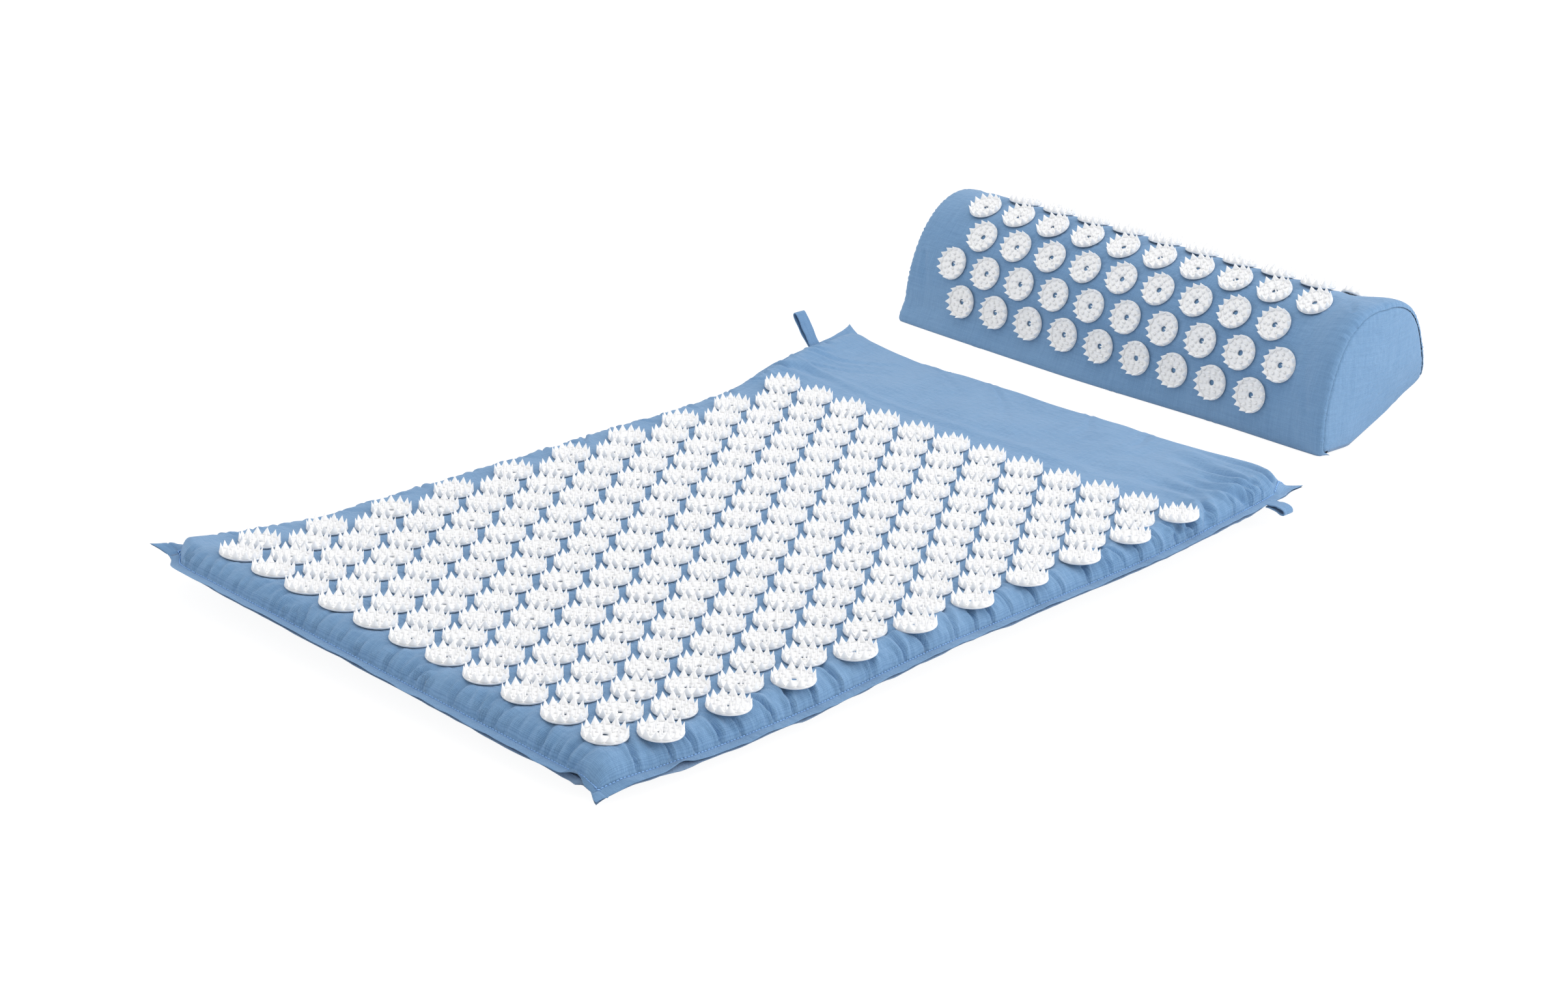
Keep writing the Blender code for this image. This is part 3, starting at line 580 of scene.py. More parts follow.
def flange_moves(u, v, layer):
    """How the flange of the upper (1) or lower (-1) cloth waves: outwards in x and y, and upwards."""
    outer_x = np.clip((np.abs(u) - SEAM_X) / FLANGE, 0, 1.1) ** 1.3
    outer_y = np.clip((np.abs(v) - SEAM_Y) / FLANGE, 0, 1.1) ** 1.3
    foot = np.where(v < 0, outer_y, 0.0)
    right = np.where(u > 0, outer_x, 0.0)
    left = np.where(u < 0, outer_x, 0.0)
    seed = 40 if layer > 0 else 50
    wave_side = 0.5 * wander(v, 15 * MM, seed) + 0.4 * wander(v, 7 * MM, seed + 1)
    wave_left = 0.5 * wander(v, 15 * MM, seed + 2) + 0.4 * wander(v, 7 * MM, seed + 3)
    wave_foot = 0.45 * wander(u, 19 * MM, seed + 4) + 0.35 * wander(u, 8 * MM, seed + 5)
    out_x = right * 0.5 * MM * wander(v, 12 * MM, seed + 6)
    out_x = out_x + left * 0.6 * MM * wander(v, 12 * MM, seed + 7)
    out_y = foot * 0.5 * MM * wander(u, 14 * MM, seed + 8)
    tucked = foot * ease((u - 182 * MM) / (6 * MM)) * (1 - ease((u - 197 * MM) / (10 * MM)))
    out_y -= tucked * 4.2 * MM
    out_x -= right * near(v, LOOP_Y, 9 * MM) * 1.3 * MM
    rise = MM * (right * wave_side + left * wave_left + foot * wave_foot)
    if layer > 0:
        raised = foot * near(u, 181 * MM, 6 * MM) * 3.8 * MM
        rise += raised + right * near(v, -271 * MM, 6 * MM) * 2.2 * MM
        out_y -= foot * near(u, 181 * MM, 5 * MM) * 4.2 * MM
        out_x -= right * near(v, -272 * MM, 9 * MM) * 2.0 * MM
        rise = np.where(rise < -0.35 * MM, -0.35 * MM, rise)
    else:
        gape = 0.25 + 0.45 * np.maximum(0, wander(v, 33 * MM, 61)) * (right + left)
        gape += 0.45 * np.maximum(0, wander(u, 37 * MM, 62)) * foot
        rise = np.minimum(rise, 0.1 * MM) - MM * (right + left + foot) * gape
        gaping = right * near(v, -275 * MM, 20 * MM) * 0.7 * MM
        rise -= gaping + foot * near(u, 175 * MM, 10 * MM) * 2.8 * MM
        out_x += right * near(v, -276 * MM, 18 * MM) * 0.6 * MM
        out_y -= foot * near(u, 176 * MM, 10 * MM) * 4.0 * MM
        out_x -= (right + left) * 0.6 * MM
        out_y -= foot * 0.6 * MM
    return out_x * np.sign(u), out_y * np.sign(v), rise


def stitch_pinch(u, v):
    """Share by which the seam's thread pulls the cloths together, 1 on the stitches."""
    side = near(np.abs(u), SEAM_X + 0.2 * MM, 0.9 * MM) * (np.abs(v) < HALF_LENGTH)
    foot = near(v, -SEAM_Y - 0.2 * MM, 0.9 * MM)
    return np.maximum(side, foot)


def cushion(u, v):
    """Points of the plain cushion, without folds."""
    x, y, curled = plan(u, v)
    height = FLANGE_TOP + (MAT_HEIGHT - FLANGE_TOP) * fullness(u, v)
    return np.stack((x, y, curled + height), axis=-1)


def sewn(points, u, v, layer, pinch):
    """Moves a cloth's points by the waves of its flange, the pinch of the thread and its corners."""
    out_x, out_y, rise = flange_moves(u, v, layer)
    moves = np.stack((out_x, out_y, rise + pinch * stitch_pinch(u, v)), axis=-1)
    return points + moves + corner_pull(u, v)


def top_cloth_surface(u, v, folds):
    """Points of the upper cloth: the plain cushion, its folds along the normal, then flange and ears."""
    base = cushion(u, v)
    inside = ease((SEAM_X - np.abs(u)) / (1.8 * MM)) * ease((SEAM_Y - np.abs(v)) / (1.8 * MM))
    middle = ease((SEAM_X - 12 * MM - np.abs(u)) / (20 * MM)) * ease((195 * MM - v) / (14 * MM))
    soft = 0.55 * MM * hollows(u, v, 42 * MM, 71) + 0.28 * MM * hollows(u, v, 17 * MM, 72)
    billow = 0.8 * MM * hollows(u, v, 21 * MM, 73) * (1 - middle)
    push = folds * inside + (soft + billow) * inside * (1 - 0.85 * middle)
    return sewn(base + sheet_normals(base) * push[..., None], u, v, 1, TOP_PINCH)


near_tip = (np.array([HALF_WIDTH]), np.array([-HALF_LENGTH]))
print("the near corner's tip moves by", np.round(corner_pull(*near_tip), 4))

# %% Upper cloth of the mat
TOP_LOWEST = 1.2 * MM


def make_top_cloth():
    full_u, drop_u = hemmed_lines(top_u, HALF_WIDTH)
    full_v, drop_v = hemmed_lines(top_v, HALF_LENGTH)
    u, v = np.meshgrid(full_u, full_v)
    points = top_cloth_surface(u, v, np.pad(top_sheet.height, len(HEM), mode="edge"))
    points[..., 2] -= np.maximum(drop_u[None, :], drop_v[:, None])
    points[..., 2] = np.maximum(points[..., 2], TOP_LOWEST)
    return cloth_piece("mat_top_cloth", points, np.stack((u, v), axis=-1))


mat_top_cloth = make_top_cloth()
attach(mat_top_cloth, "mat")
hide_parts("mat_top_panel")
print("upper cloth faces:", len(mat_top_cloth.data.polygons))

# %% [markdown]
# ## The mat's lower cloth
# The underside lies flat on the floor and rounds up to the seam. It is made the same way from fewer
# lines, with its hem folded inwards, upwards this time.

# %% Lower cloth of the mat
LOW_SHOULDER = 34.0 * MM
LOW_REST = 0.25 * MM
LOW_FULLER = 1.1 * MM


def settled(u, v):
    """How far the lower cloth has come down to the floor, 0 at the seam and 1 well inside it."""
    inset = np.clip(np.minimum(SEAM_X - np.abs(u), SEAM_Y - np.abs(v)) / LOW_SHOULDER, 0.0, 1.0)
    return 1 - (1 - inset) ** 1.7


def make_bottom_cloth():
    full_u, drop_u = hemmed_lines(graded_lines(HALF_WIDTH, EDGE_RUN, 1.6 * MM, 6 * MM), HALF_WIDTH)
    full_v, drop_v = hemmed_lines(graded_lines(HALF_LENGTH, EDGE_RUN, 1.6 * MM, 3.2 * MM), HALF_LENGTH)
    u, v = np.meshgrid(full_u, full_v)
    x, y, curled = plan(u, v)
    rest = 1 - settled(u, v)
    held = ease((0.3 * HALF_LENGTH - v) / (0.1 * HALF_LENGTH))
    held = held + ease((np.abs(u) - SEAM_X + 20 * MM) / (20 * MM))
    soft = 0.3 * MM * hollows(u, v, 30 * MM, 81) * rest
    height = (FLANGE_LOW + LOW_FULLER * np.minimum(held, 1.0)) * rest + LOW_REST + soft
    points = sewn(np.stack((x, y, curled + height), axis=-1), u, v, -1, LOW_PINCH)
    points[..., 2] += np.maximum(drop_u[None, :], drop_v[:, None])
    points[..., 2] = np.maximum(points[..., 2], LOW_REST)
    return cloth_piece("mat_bottom_cloth", points, np.stack((u, v), axis=-1), face_down=True)


mat_bottom_cloth = make_bottom_cloth()
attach(mat_bottom_cloth, "mat")
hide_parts("mat_bottom_panel")
print("lower cloth faces:", len(mat_bottom_cloth.data.polygons))

# %% [markdown]
# ## Foam sheet
# The foam is never seen, but it fills the cover when a reader takes the model apart. It follows the
# cushion's shape a little inside the cloth. The floor plan is cut into small square cells, and the foam
# stays under the cloth's lowest point in and next to each of them, so no deep fold cuts into it.

# %% Foam sheet of the mat
MAT_LINING = 2.0 * MM
FOAM_INSET = 4.0 * MM
FOAM_LEAST = 0.8 * MM
CELL = 3.0 * MM


def clear_height(places):
    """How high the foam may reach at these places, which is just under the upper cloth."""
    cloth = np.array([vertex.co[:] for vertex in mat_top_cloth.data.vertices])
    origin = cloth[:, :2].min(axis=0) - 2 * CELL
    over = ((cloth[:, :2] - origin) / CELL).astype(int)
    lowest = np.full(over.max(axis=0) + 3, 1.0)
    np.minimum.at(lowest, (over[:, 0], over[:, 1]), cloth[:, 2])
    shifts = [(across, along) for across in (-1, 0, 1) for along in (-1, 0, 1)]
    lowest = np.minimum.reduce([np.roll(lowest, shift, (0, 1)) for shift in shifts])
    under = ((places - origin) / CELL).astype(int)
    return lowest[under[..., 0], under[..., 1]] - 0.5 * MM


def make_mat_foam():
    u, v = np.meshgrid(
        graded_lines(SEAM_X - FOAM_INSET, 20 * MM, 4 * MM, 9 * MM),
        graded_lines(SEAM_Y - FOAM_INSET, 20 * MM, 4 * MM, 9 * MM))
    corner = np.hypot(SEAM_X - np.abs(u), SEAM_Y - np.abs(v))
    inwards = 1 - 0.045 * np.exp(-((corner / (26 * MM)) ** 2))
    u, v = u * inwards, v * (1 + (inwards - 1) * 0.6)
    x, y, curled = plan(u, v)
    pull = corner_pull(u, v)
    height = curled + FLANGE_TOP + (MAT_HEIGHT - FLANGE_TOP) * fullness(u, v, 3.2 * MM)
    top = np.stack((x, y, height - MAT_LINING), axis=-1) + pull
    height = curled + (FLANGE_LOW + LOW_FULLER) * (1 - settled(u, v))
    low = np.stack((x, y, height + MAT_LINING - 0.4 * MM), axis=-1) + pull
    low[..., 2] = np.maximum(low[..., 2], FOAM_LEAST)
    top[..., 2] = np.minimum(top[..., 2], clear_height(top[..., :2]))
    top[..., 2] = np.maximum(top[..., 2], low[..., 2] + FOAM_LEAST)
    rows, columns = u.shape
    top_faces = grid_faces(rows, columns)
    low_faces = grid_faces(rows, columns)[:, ::-1] + rows * columns
    index = np.arange(rows * columns).reshape(rows, columns)
    rim = np.concatenate((index[0, :], index[1:, -1], index[-1, -2::-1], index[-2:0:-1, 0]))
    after = np.roll(rim, -1)
    walls = np.stack((rim, rim + rows * columns, after + rows * columns, after), axis=-1)
    points = np.concatenate((top.reshape(-1, 3), low.reshape(-1, 3)))
    return mesh_piece("mat_foam_sheet", points, np.concatenate((top_faces, low_faces, walls)))


mat_foam_sheet = make_mat_foam()
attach(mat_foam_sheet, "mat")
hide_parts("mat_foam_core")
print("foam faces:", len(mat_foam_sheet.data.polygons))

# %% [markdown]
# ## Stitches
# A line of light blue thread holds the flange on three sides. Each stitch is a small rounded bead of
# thread about 2 mm long, laid along the seam on the finished cloth. The head side has none, because the
# zip is there.

# %% Stitches of the mat
STITCH_PITCH = 2.4 * MM
SEAM_LINE = 1.3 * MM
BEAD = (
    # along the stitch, thickness, height, all as shares
    (-0.5, 0.25, -0.9), (-0.38, 0.8, -0.25), (0.0, 1.0, 0.1), (0.38, 0.8, -0.25), (0.5, 0.25, -0.9),
)


def thread_beads(name, places, directions, normals, length, radius, sides=6):
    """One mesh of many short thread stitches, each a stretched bead that sinks at both ends."""
    parts = []
    for place, direction, normal in zip(places, directions, normals):
        side = np.cross(direction, normal)
        points = []
        for along, size, sink in BEAD:
            middle = place + direction * along * length + normal * sink * radius
            for k in range(sides):
                turn = 2 * pi * k / sides
                points.append(middle + size * radius * (side * cos(turn) * 1.25 + normal * sin(turn)))
        parts.append((points, capped_faces(len(BEAD), sides)))
    return mesh_piece(name, *join_parts(parts))


def seam_line(side):
    """The stitch line of one side on the pattern, as u and v, one place for each stitch."""
    if side == "foot":
        u = np.arange(-HALF_WIDTH + 7 * MM, HALF_WIDTH - 7 * MM, STITCH_PITCH)
        return u, np.full(u.shape, -SEAM_Y - SEAM_LINE)
    v = np.arange(-HALF_LENGTH + 7 * MM, HALF_LENGTH - 5 * MM, STITCH_PITCH)
    return np.full(v.shape, (SEAM_X + SEAM_LINE) * (1 if side == "right" else -1)), v


def top_strip(u, v):
    """Points of the upper cloth near its edge, where it has no folds."""
    return sewn(cushion(u, v), u, v, 1, TOP_PINCH)


def stitch_side(side):
    """Place, direction and normal of each stitch of one side, on the finished cloth."""
    u, v = seam_line(side)
    jitter = np.random.default_rng(len(side)).normal(0, 0.12 * MM, u.shape)
    step = 0.5 * MM
    if side == "foot":
        v = v + jitter
        du, dv = step, 0.0
    else:
        u = u + jitter
        du, dv = 0.0, step
    places = top_strip(u, v)
    directions = top_strip(u + du, v + dv) - top_strip(u - du, v - dv)
    directions /= np.linalg.norm(directions, axis=1, keepdims=True)
    normals = np.cross(directions, top_strip(u - dv, v + du) - places)
    normals /= np.linalg.norm(normals, axis=1, keepdims=True)
    normals *= np.sign(normals[:, 2:3])
    return places + normals * 0.3 * MM, directions, normals


seam_parts = [stitch_side(side) for side in ("foot", "left", "right")]
seam_stitches = [np.concatenate(parts) for parts in zip(*seam_parts)]
mat_edge_stitches = thread_beads("mat_edge_stitches", *seam_stitches, 1.85 * MM, 0.4 * MM)
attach(mat_edge_stitches, "mat")
print("stitches:", len(seam_stitches[0]))

# %% [markdown]
# ## A spiked disc
# Each disc is one moulding. A thin round plate has a hole in its middle and four pin holes. Thirteen
# spikes stand on its very edge like a crown, with their outer faces level with the wall, and fourteen
# more stand inside. The plate is a turned profile. Each spike is a cone with a flared foot, and the rim
# spikes are pressed flat on the outside by limiting how far out their points may go.

# %% Disc plate
DISC_BASE = 1.8 * MM
PLATE_SEGMENTS = 39
PLATE_PROFILE = (
    (2.15, 0.0), (2.1, 0.45), (2.2, 0.75), (2.45, 1.1), (2.9, 1.6), (4.2, 1.74), (8.6, 1.74), (9.6, 1.76),
    (10.7, 1.8), (12.3, 1.86), (12.82, 1.7), (13.0, 1.3), (12.92, 0.75), (12.62, 0.25), (12.1, 0.0),
)
PIN_RING = 7
PIN_HOLES = 4
PIN_HOLE = ((0.0, 0.42), (1.0, 0.36))


def disc_plate():
    """The turned plate. Each pin hole is sunk into one face of the flat ring: depth and size, in mm."""
    profile = np.array(PLATE_PROFILE) * MM
    turns = np.arange(PLATE_SEGMENTS) * 2 * pi / PLATE_SEGMENTS
    rings = len(profile)
    points = np.empty((rings, PLATE_SEGMENTS, 3))
    points[..., 0] = profile[:, :1] * np.cos(turns)
    points[..., 1] = profile[:, :1] * np.sin(turns)
    points[..., 2] = profile[:, 1:]
    faces = grid_faces(rings, PLATE_SEGMENTS, closed=True)[:, ::-1].tolist()
    flat = points.reshape(-1, 3).tolist()
    for number in range(PIN_HOLES):
        column = round(number * PLATE_SEGMENTS / PIN_HOLES + 2) % PLATE_SEGMENTS
        place = PIN_RING * PLATE_SEGMENTS + column
        corners = faces[place]
        middle = np.mean([flat[corner] for corner in corners], axis=0)
        ring = []
        for depth, size in PIN_HOLE:
            start = len(flat)
            for corner in corners:
                away = np.array(flat[corner]) - middle
                away *= size * MM / np.linalg.norm(away)
                flat.append((middle + away - np.array((0, 0, depth * MM))).tolist())
            ring.append(range(start, start + 4))
        faces[place] = [corners[0], corners[1], ring[0][1], ring[0][0]]
        for k in range(1, 4):
            faces.append([corners[k], corners[(k + 1) % 4], ring[0][(k + 1) % 4], ring[0][k]])
        for k in range(4):
            faces.append([ring[0][k], ring[0][(k + 1) % 4], ring[1][(k + 1) % 4], ring[1][k]])
        faces.append(list(ring[1]))
    return flat, faces


plate = disc_plate()
print("disc plate:", len(plate[1]), "faces")

# %% Spikes of a disc
SPIKE_SIDES = 9
TOOTH_PROFILE = ((2.85, -0.2), (2.5, 0.5), (1.9, 1.4), (1.2, 2.6), (0.42, 4.05))
PIN_PROFILE = ((1.35, -0.2), (1.0, 0.3), (0.76, 1.2), (0.5, 2.4), (0.2, 3.7))
TOOTH_DEPTH = 0.45
SPIKE_RINGS = (
    # how many, distance from the middle, tip height, outward lean, size, turn
    (13, 11.7, 6.5, 0.9, 1.0, 0.0),
    (9, 7.7, 5.9, 0.0, 0.95, 0.2),
    (5, 4.25, 5.8, 0.0, 0.9, 0.5),
)


def spike(profile, depth, centre_radius, turn, height, lean, scale, wall):
    """Points and faces of one spike. Lean moves its tip outwards, and wall limits how far out it goes."""
    out = np.array((cos(turn), sin(turn), 0))
    side = np.array((-sin(turn), cos(turn), 0))
    points = []
    rise = height - DISC_BASE
    for radius, up in profile:
        share = max(up, 0) * MM / rise
        middle = centre_radius + lean * share
        for k in range(SPIKE_SIDES):
            angle = 2 * pi * k / SPIKE_SIDES
            reach_out = min(middle + depth * scale * radius * MM * cos(angle), wall - 0.12 * MM * share)
            points.append(out * reach_out + side * scale * radius * MM * sin(angle))
            points[-1][2] = DISC_BASE + min(up * MM, rise)
    faces = grid_faces(len(profile), SPIKE_SIDES, closed=True).tolist()
    tip = len(points)
    points.append(out * min(centre_radius + lean, wall - 0.2 * MM))
    points[-1][2] = height
    last = (len(profile) - 1) * SPIKE_SIDES
    for k in range(SPIKE_SIDES):
        faces.append([last + k, last + (k + 1) % SPIKE_SIDES, tip])
    return points, faces


def disc_spikes():
    """The rim's flat teeth, which end at the plate's wall, and the round pins inside them."""
    spikes = []
    for count, radius, height, lean, scale, start in SPIKE_RINGS:
        rim = lean > 0
        profile, depth, wall = (TOOTH_PROFILE, TOOTH_DEPTH, DISC_RADIUS) if rim else (PIN_PROFILE, 1.0, 1.0)
        for k in range(count):
            turn = start + 2 * pi * k / count
            spikes.append(spike(profile, depth, radius * MM, turn, height * MM, lean * MM, scale, wall))
    return spikes


disc_points, disc_faces = join_parts([plate] + disc_spikes())
print("one disc:", len(disc_points), "points,", len(disc_faces), "faces")

# %% Rows of discs
DISC_TILT = 0.35


def into_world(points, matrix):
    matrix = np.array(matrix)
    return points @ matrix[:3, :3].T + matrix[:3, 3]


def make_disc_row(name, node, frames, body, seed):
    """One row: the same moulding set down at each place, each turned and tilted by chance."""
    rng = np.random.default_rng(seed)
    parts = []
    for disc in frames:
        turn = Matrix.Rotation(rng.uniform(0, 2 * pi), 4, "Z")
        tilt = Matrix.Rotation(radians(rng.normal(0, DISC_TILT)), 4, "X")
        tilt = tilt @ Matrix.Rotation(radians(rng.normal(0, DISC_TILT)), 4, "Y")
        parts.append((into_world(disc_points, disc @ tilt @ turn), disc_faces))
    row = mesh_piece(name, *join_parts(parts), sharp=radians(58))
    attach(row, body)
    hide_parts(node)
    return row


disc_rows = []
for number, frames in enumerate(mat_rows, 1):
    disc_rows.append(make_disc_row(
        f"mat_spiked_discs_{number:02d}", f"mat_disc_row_{number:02d}", frames, "mat", 100 + number))
print("rows of discs on the mat:", len(disc_rows))

# %% [markdown]
# ## The pillow's wrap
# The pillow is a half-round foam bolster. One long cloth goes round its front, top and back, and its
# two ends are closed by D-shaped cloths. At each end the wrap rolls over the foam's edge, and the seam
# lies a little way in on the end face, with fine gathers where the thread draws the longer cloth in.

# %% Shape of the pillow
PILLOW_DEPTH = 124.0 * MM
PILLOW_HEIGHT = 100.0 * MM
PILLOW_CORNER = 8.0 * MM
FRONT_CORNER_RUN = 4.0 * MM
PILLOW_SEAM_X = 204.0 * MM
PILLOW_END_X = 209.0 * MM
ROLL = 3.5 * MM
ROLL_RUN = 5.5 * MM
END_MIDDLE = 45.0 * MM
pillow_frame = Matrix.Translation((-68.7 * MM, 486.3 * MM, 0)) @ Matrix.Rotation(radians(-3.56), 4, "Z")


def pillow_draw(x):
    """How much the end seams draw the section in."""
    return 1.0 * MM * np.minimum(np.abs(x) / PILLOW_SEAM_X, 1.0) ** 8


def section_point(angle, x, inset=0.0):
    """A point of the D-shaped section: front corner below 0, arch up to pi, rear corner above."""
    half_depth = PILLOW_DEPTH / 2 - pillow_draw(x) - inset
    top = PILLOW_HEIGHT - pillow_draw(x) - inset
    corner = PILLOW_CORNER - inset
    arch_y = -half_depth * np.cos(angle)
    arch_z = PILLOW_CORNER + (top - PILLOW_CORNER) * np.sin(angle)
    front_run = FRONT_CORNER_RUN * corner / PILLOW_CORNER
    front_y = -half_depth + front_run - front_run * np.cos(angle)
    rear_y = half_depth - corner - corner * np.cos(angle)
    corner_z = PILLOW_CORNER + corner * np.sin(angle)
    y = np.where(angle < 0, front_y, np.where(angle > pi, rear_y, arch_y))
    z = np.where((angle < 0) | (angle > pi), corner_z, arch_z)
    return y, z


def section_lengths(first, last):
    """Many angles round the section, and the length of cloth up to each."""
    fine = np.linspace(first, last, 4000)
    return fine, lengths_along(*section_point(fine, 0.0))


def measured_section(first, last, count):
    """Angles that cut the section into equal lengths of cloth, and those lengths."""
    fine, gone = section_lengths(first, last)
    lengths = np.linspace(0.0, gone[-1], count)
    return np.interp(lengths, gone, fine), lengths


def arch_angle_at(distance):
    fine, gone = section_lengths(0.0, pi)
    return float(np.interp(distance, gone, fine))


def settle_ends(points):
    """The cover's soft corners: the right end's lower rear is tucked up and its upper part is fuller,
    and the left toe is pushed forward."""
    x, y, z = points[..., 0], points[..., 1], points[..., 2]
    right = ease((x - 138 * MM) / (64 * MM))
    tucked = 0.43 * np.maximum(0.0, y + 27 * MM) * np.maximum(0.0, 1 - z / (62 * MM)) ** 1.5
    drawn = 7.5 * MM * ease(y / (50 * MM)) * np.maximum(0.0, 1 - z / (90 * MM))
    low = np.maximum(0.0, 1 - z / (18 * MM)) ** 1.2
    toe = 8.5 * MM * ease((150 * MM - x) / (200 * MM)) * low * ease(-y / (50 * MM))
    high = np.clip(z / PILLOW_HEIGHT, 0, 1)
    fuller = ease((x - 166 * MM) / (38 * MM)) * 2 * high * np.abs(y) / (PILLOW_DEPTH / 2)
    risen = 3 * MM * ease((x - 170 * MM) / (32 * MM)) * ease((z - END_MIDDLE) / (40 * MM))
    risen = risen + 5 * MM * fuller
    bulged = 5 * MM * fuller * np.sign(y)
    return np.stack((x, y + bulged - right * drawn - toe, z + right * tucked + risen), axis=-1)


front_corner = PILLOW_CORNER * pi / 2
print("pillow arch length:", round(section_lengths(0, pi)[1][-1], 4))

# %% Disc frames on the pillow
PILLOW_PITCH = 36.0 * MM
PILLOW_ROW_PITCH = 26.6 * MM
PILLOW_FIRST_ROW = 22.3 * MM


def section_vector(x, angle):
    y, z = section_point(angle, x)
    return Vector((x, float(y), float(z)))


def pillow_disc_frame(x, angle):
    step = 0.1 * MM
    turn = 0.001
    along_row = section_vector(x + step, angle) - section_vector(x - step, angle)
    across_row = section_vector(x, angle + turn) - section_vector(x, angle - turn)
    return pillow_frame @ seated_frame(section_vector(x, angle), along_row, across_row)


pillow_rows = []
pillow_disc_places = []
for row in range(1, 8):
    distance = PILLOW_FIRST_ROW + (row - 1) * PILLOW_ROW_PITCH
    places = row_places(9 if row % 2 else 10, PILLOW_PITCH)
    pillow_rows.append([pillow_disc_frame(x, arch_angle_at(distance)) for x in places])
    pillow_disc_places.extend([(x, distance + front_corner) for x in places])
for number, frames in enumerate(pillow_rows, 1):
    disc_rows.append(make_disc_row(
        f"pillow_spiked_discs_{number}", f"pillow_disc_row_{number}", frames, "pillow", 200 + number))
print("discs on the pillow:", len(pillow_disc_places))

# %% Wrap cloth of the pillow
def rolled_lines(count, turns, run):
    """Flat lines between the ends and lines that roll over each end, and how far each lies inside."""
    flat_end = PILLOW_END_X - ROLL_RUN
    over_x = flat_end + run * np.sin(turns)
    over_inset = ROLL * (1 - np.cos(turns))
    x = np.concatenate((-over_x[::-1], np.linspace(-flat_end, flat_end, count), over_x))
    return x, np.concatenate((over_inset[::-1], np.zeros(count), over_inset))


wrap_x, wrap_inset = rolled_lines(240, np.linspace(0.16, 1.0, 8) * pi / 2, ROLL_RUN)
wrap_cloth = lengths_along(wrap_x, wrap_inset)
wrap_cloth = wrap_cloth - wrap_cloth[-1] / 2
wrap_angles, wrap_lengths = measured_section(-pi / 2, pi, 176)
wrap_total = wrap_lengths[-1]
wrap_sheet = FoldedSheet(wrap_cloth, wrap_lengths)
wrinkle_discs(wrap_sheet, pillow_disc_places, 31, size=0.9)


def gather_end(sheet, side, seed):
    """Fine gathers along one end seam of the wrap."""
    rng = np.random.default_rng(seed)
    edge = wrap_cloth[-1]
    place = 6 * MM
    while place < wrap_total - 3 * MM:
        length = rng.uniform(5 * MM, 12 * MM)
        slant = rng.normal(0, 0.18)
        inward = np.linspace(0, length, 4)
        path = np.stack((side * (edge - inward), place + slant * inward), axis=1)
        sheet.fold(path, rng.uniform(0.7, 1.2) * MM, rng.uniform(0.25, 0.75) * MM, bank=0.6)
        place += rng.uniform(2.6, 6.5) * MM


gather_end(wrap_sheet, 1, 32)
gather_end(wrap_sheet, -1, 33)
PILLOW_FOLDS = (
    # path in millimetres: along the pillow, then round it from the floor
    (((-196, 60), (-188, 40), (-184, 22)), 3.0, 1.0),
    (((194, 30), (184, 60), (180, 96)), 3.6, 0.8),
    (((198, 110), (188, 120), (176, 126)), 2.6, 0.8),
    (((-198, 150), (-186, 140), (-180, 120)), 3.0, 0.8),
    (((-120, 4), (-116, 18), (-118, 30)), 2.6, 0.35),
    (((20, 3), (24, 16), (22, 28)), 2.4, 0.35),
    (((110, 3), (108, 15), (112, 26)), 2.6, 0.35),
)
for path, width, depth in PILLOW_FOLDS:
    wrap_sheet.fold(np.array(path) * MM, width * MM, depth * MM, bank=0.5, keep=0.1)
print("wrap:", len(wrap_cloth), "x", len(wrap_lengths), "lines")


def make_wrap_cloth():
    x, angle = np.meshgrid(wrap_x, wrap_angles)
    y, z = section_point(angle, x, wrap_inset)
    base = np.stack((x, y, z), axis=-1)
    soft = 0.5 * MM * hollows(wrap_sheet.u, wrap_sheet.v, 38 * MM, 34)
    soft += 0.22 * MM * hollows(wrap_sheet.u, wrap_sheet.v, 15 * MM, 35)
    calm = ease(wrap_sheet.v / (14 * MM)) * ease((wrap_total - wrap_sheet.v) / (10 * MM))
    points = base + sheet_normals(base) * (wrap_sheet.height + soft * 0.5 * calm)[..., None]
    points[..., 2] = np.maximum(points[..., 2], 0.3 * MM)
    under = points[:1].copy()
    under[..., 1] += 6 * MM
    under[..., 2] = 0.3 * MM
    points = settle_ends(np.concatenate((under, points)))
    pattern = np.stack((wrap_sheet.u, wrap_sheet.v), axis=-1)
    pattern = np.concatenate((pattern[:1] - np.array((0.0, 6 * MM)), pattern))
    return cloth_piece("pillow_wrap_cloth", into_world(points, pillow_frame), pattern)


pillow_wrap_cloth = make_wrap_cloth()
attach(pillow_wrap_cloth, "pillow")
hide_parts("pillow_wrap_panel")
print("wrap faces:", len(pillow_wrap_cloth.data.polygons))

# %% [markdown]
# ## The pillow's ends, base and foam
# Each end is a D of cloth that the foam pushes out into a low dome, the left one further than the
# right. It is made of rings that shrink towards the middle. The base is a flat cloth that turns up at
# the back, where the zip joins it to the wrap.

# %% End cloths of the pillow
END_SHARES = np.array((
    1.0, 0.985, 0.965, 0.94, 0.9, 0.85, 0.79, 0.72, 0.64, 0.55, 0.46, 0.36, 0.26, 0.16, 0.08, 0.02))


def end_ring(count, inset):
    """The section's outline at the end seam, with a straight line along the floor."""
    angles, _ = measured_section(-pi / 2, 3 * pi / 2, count)
    y, z = section_point(angles, PILLOW_END_X, inset)
    floor_y = np.linspace(y[-1], y[0], 42)[1:-1]
    floor_z = np.full(floor_y.shape, z[0])
    return np.concatenate((y, floor_y)), np.concatenate((z, floor_z))


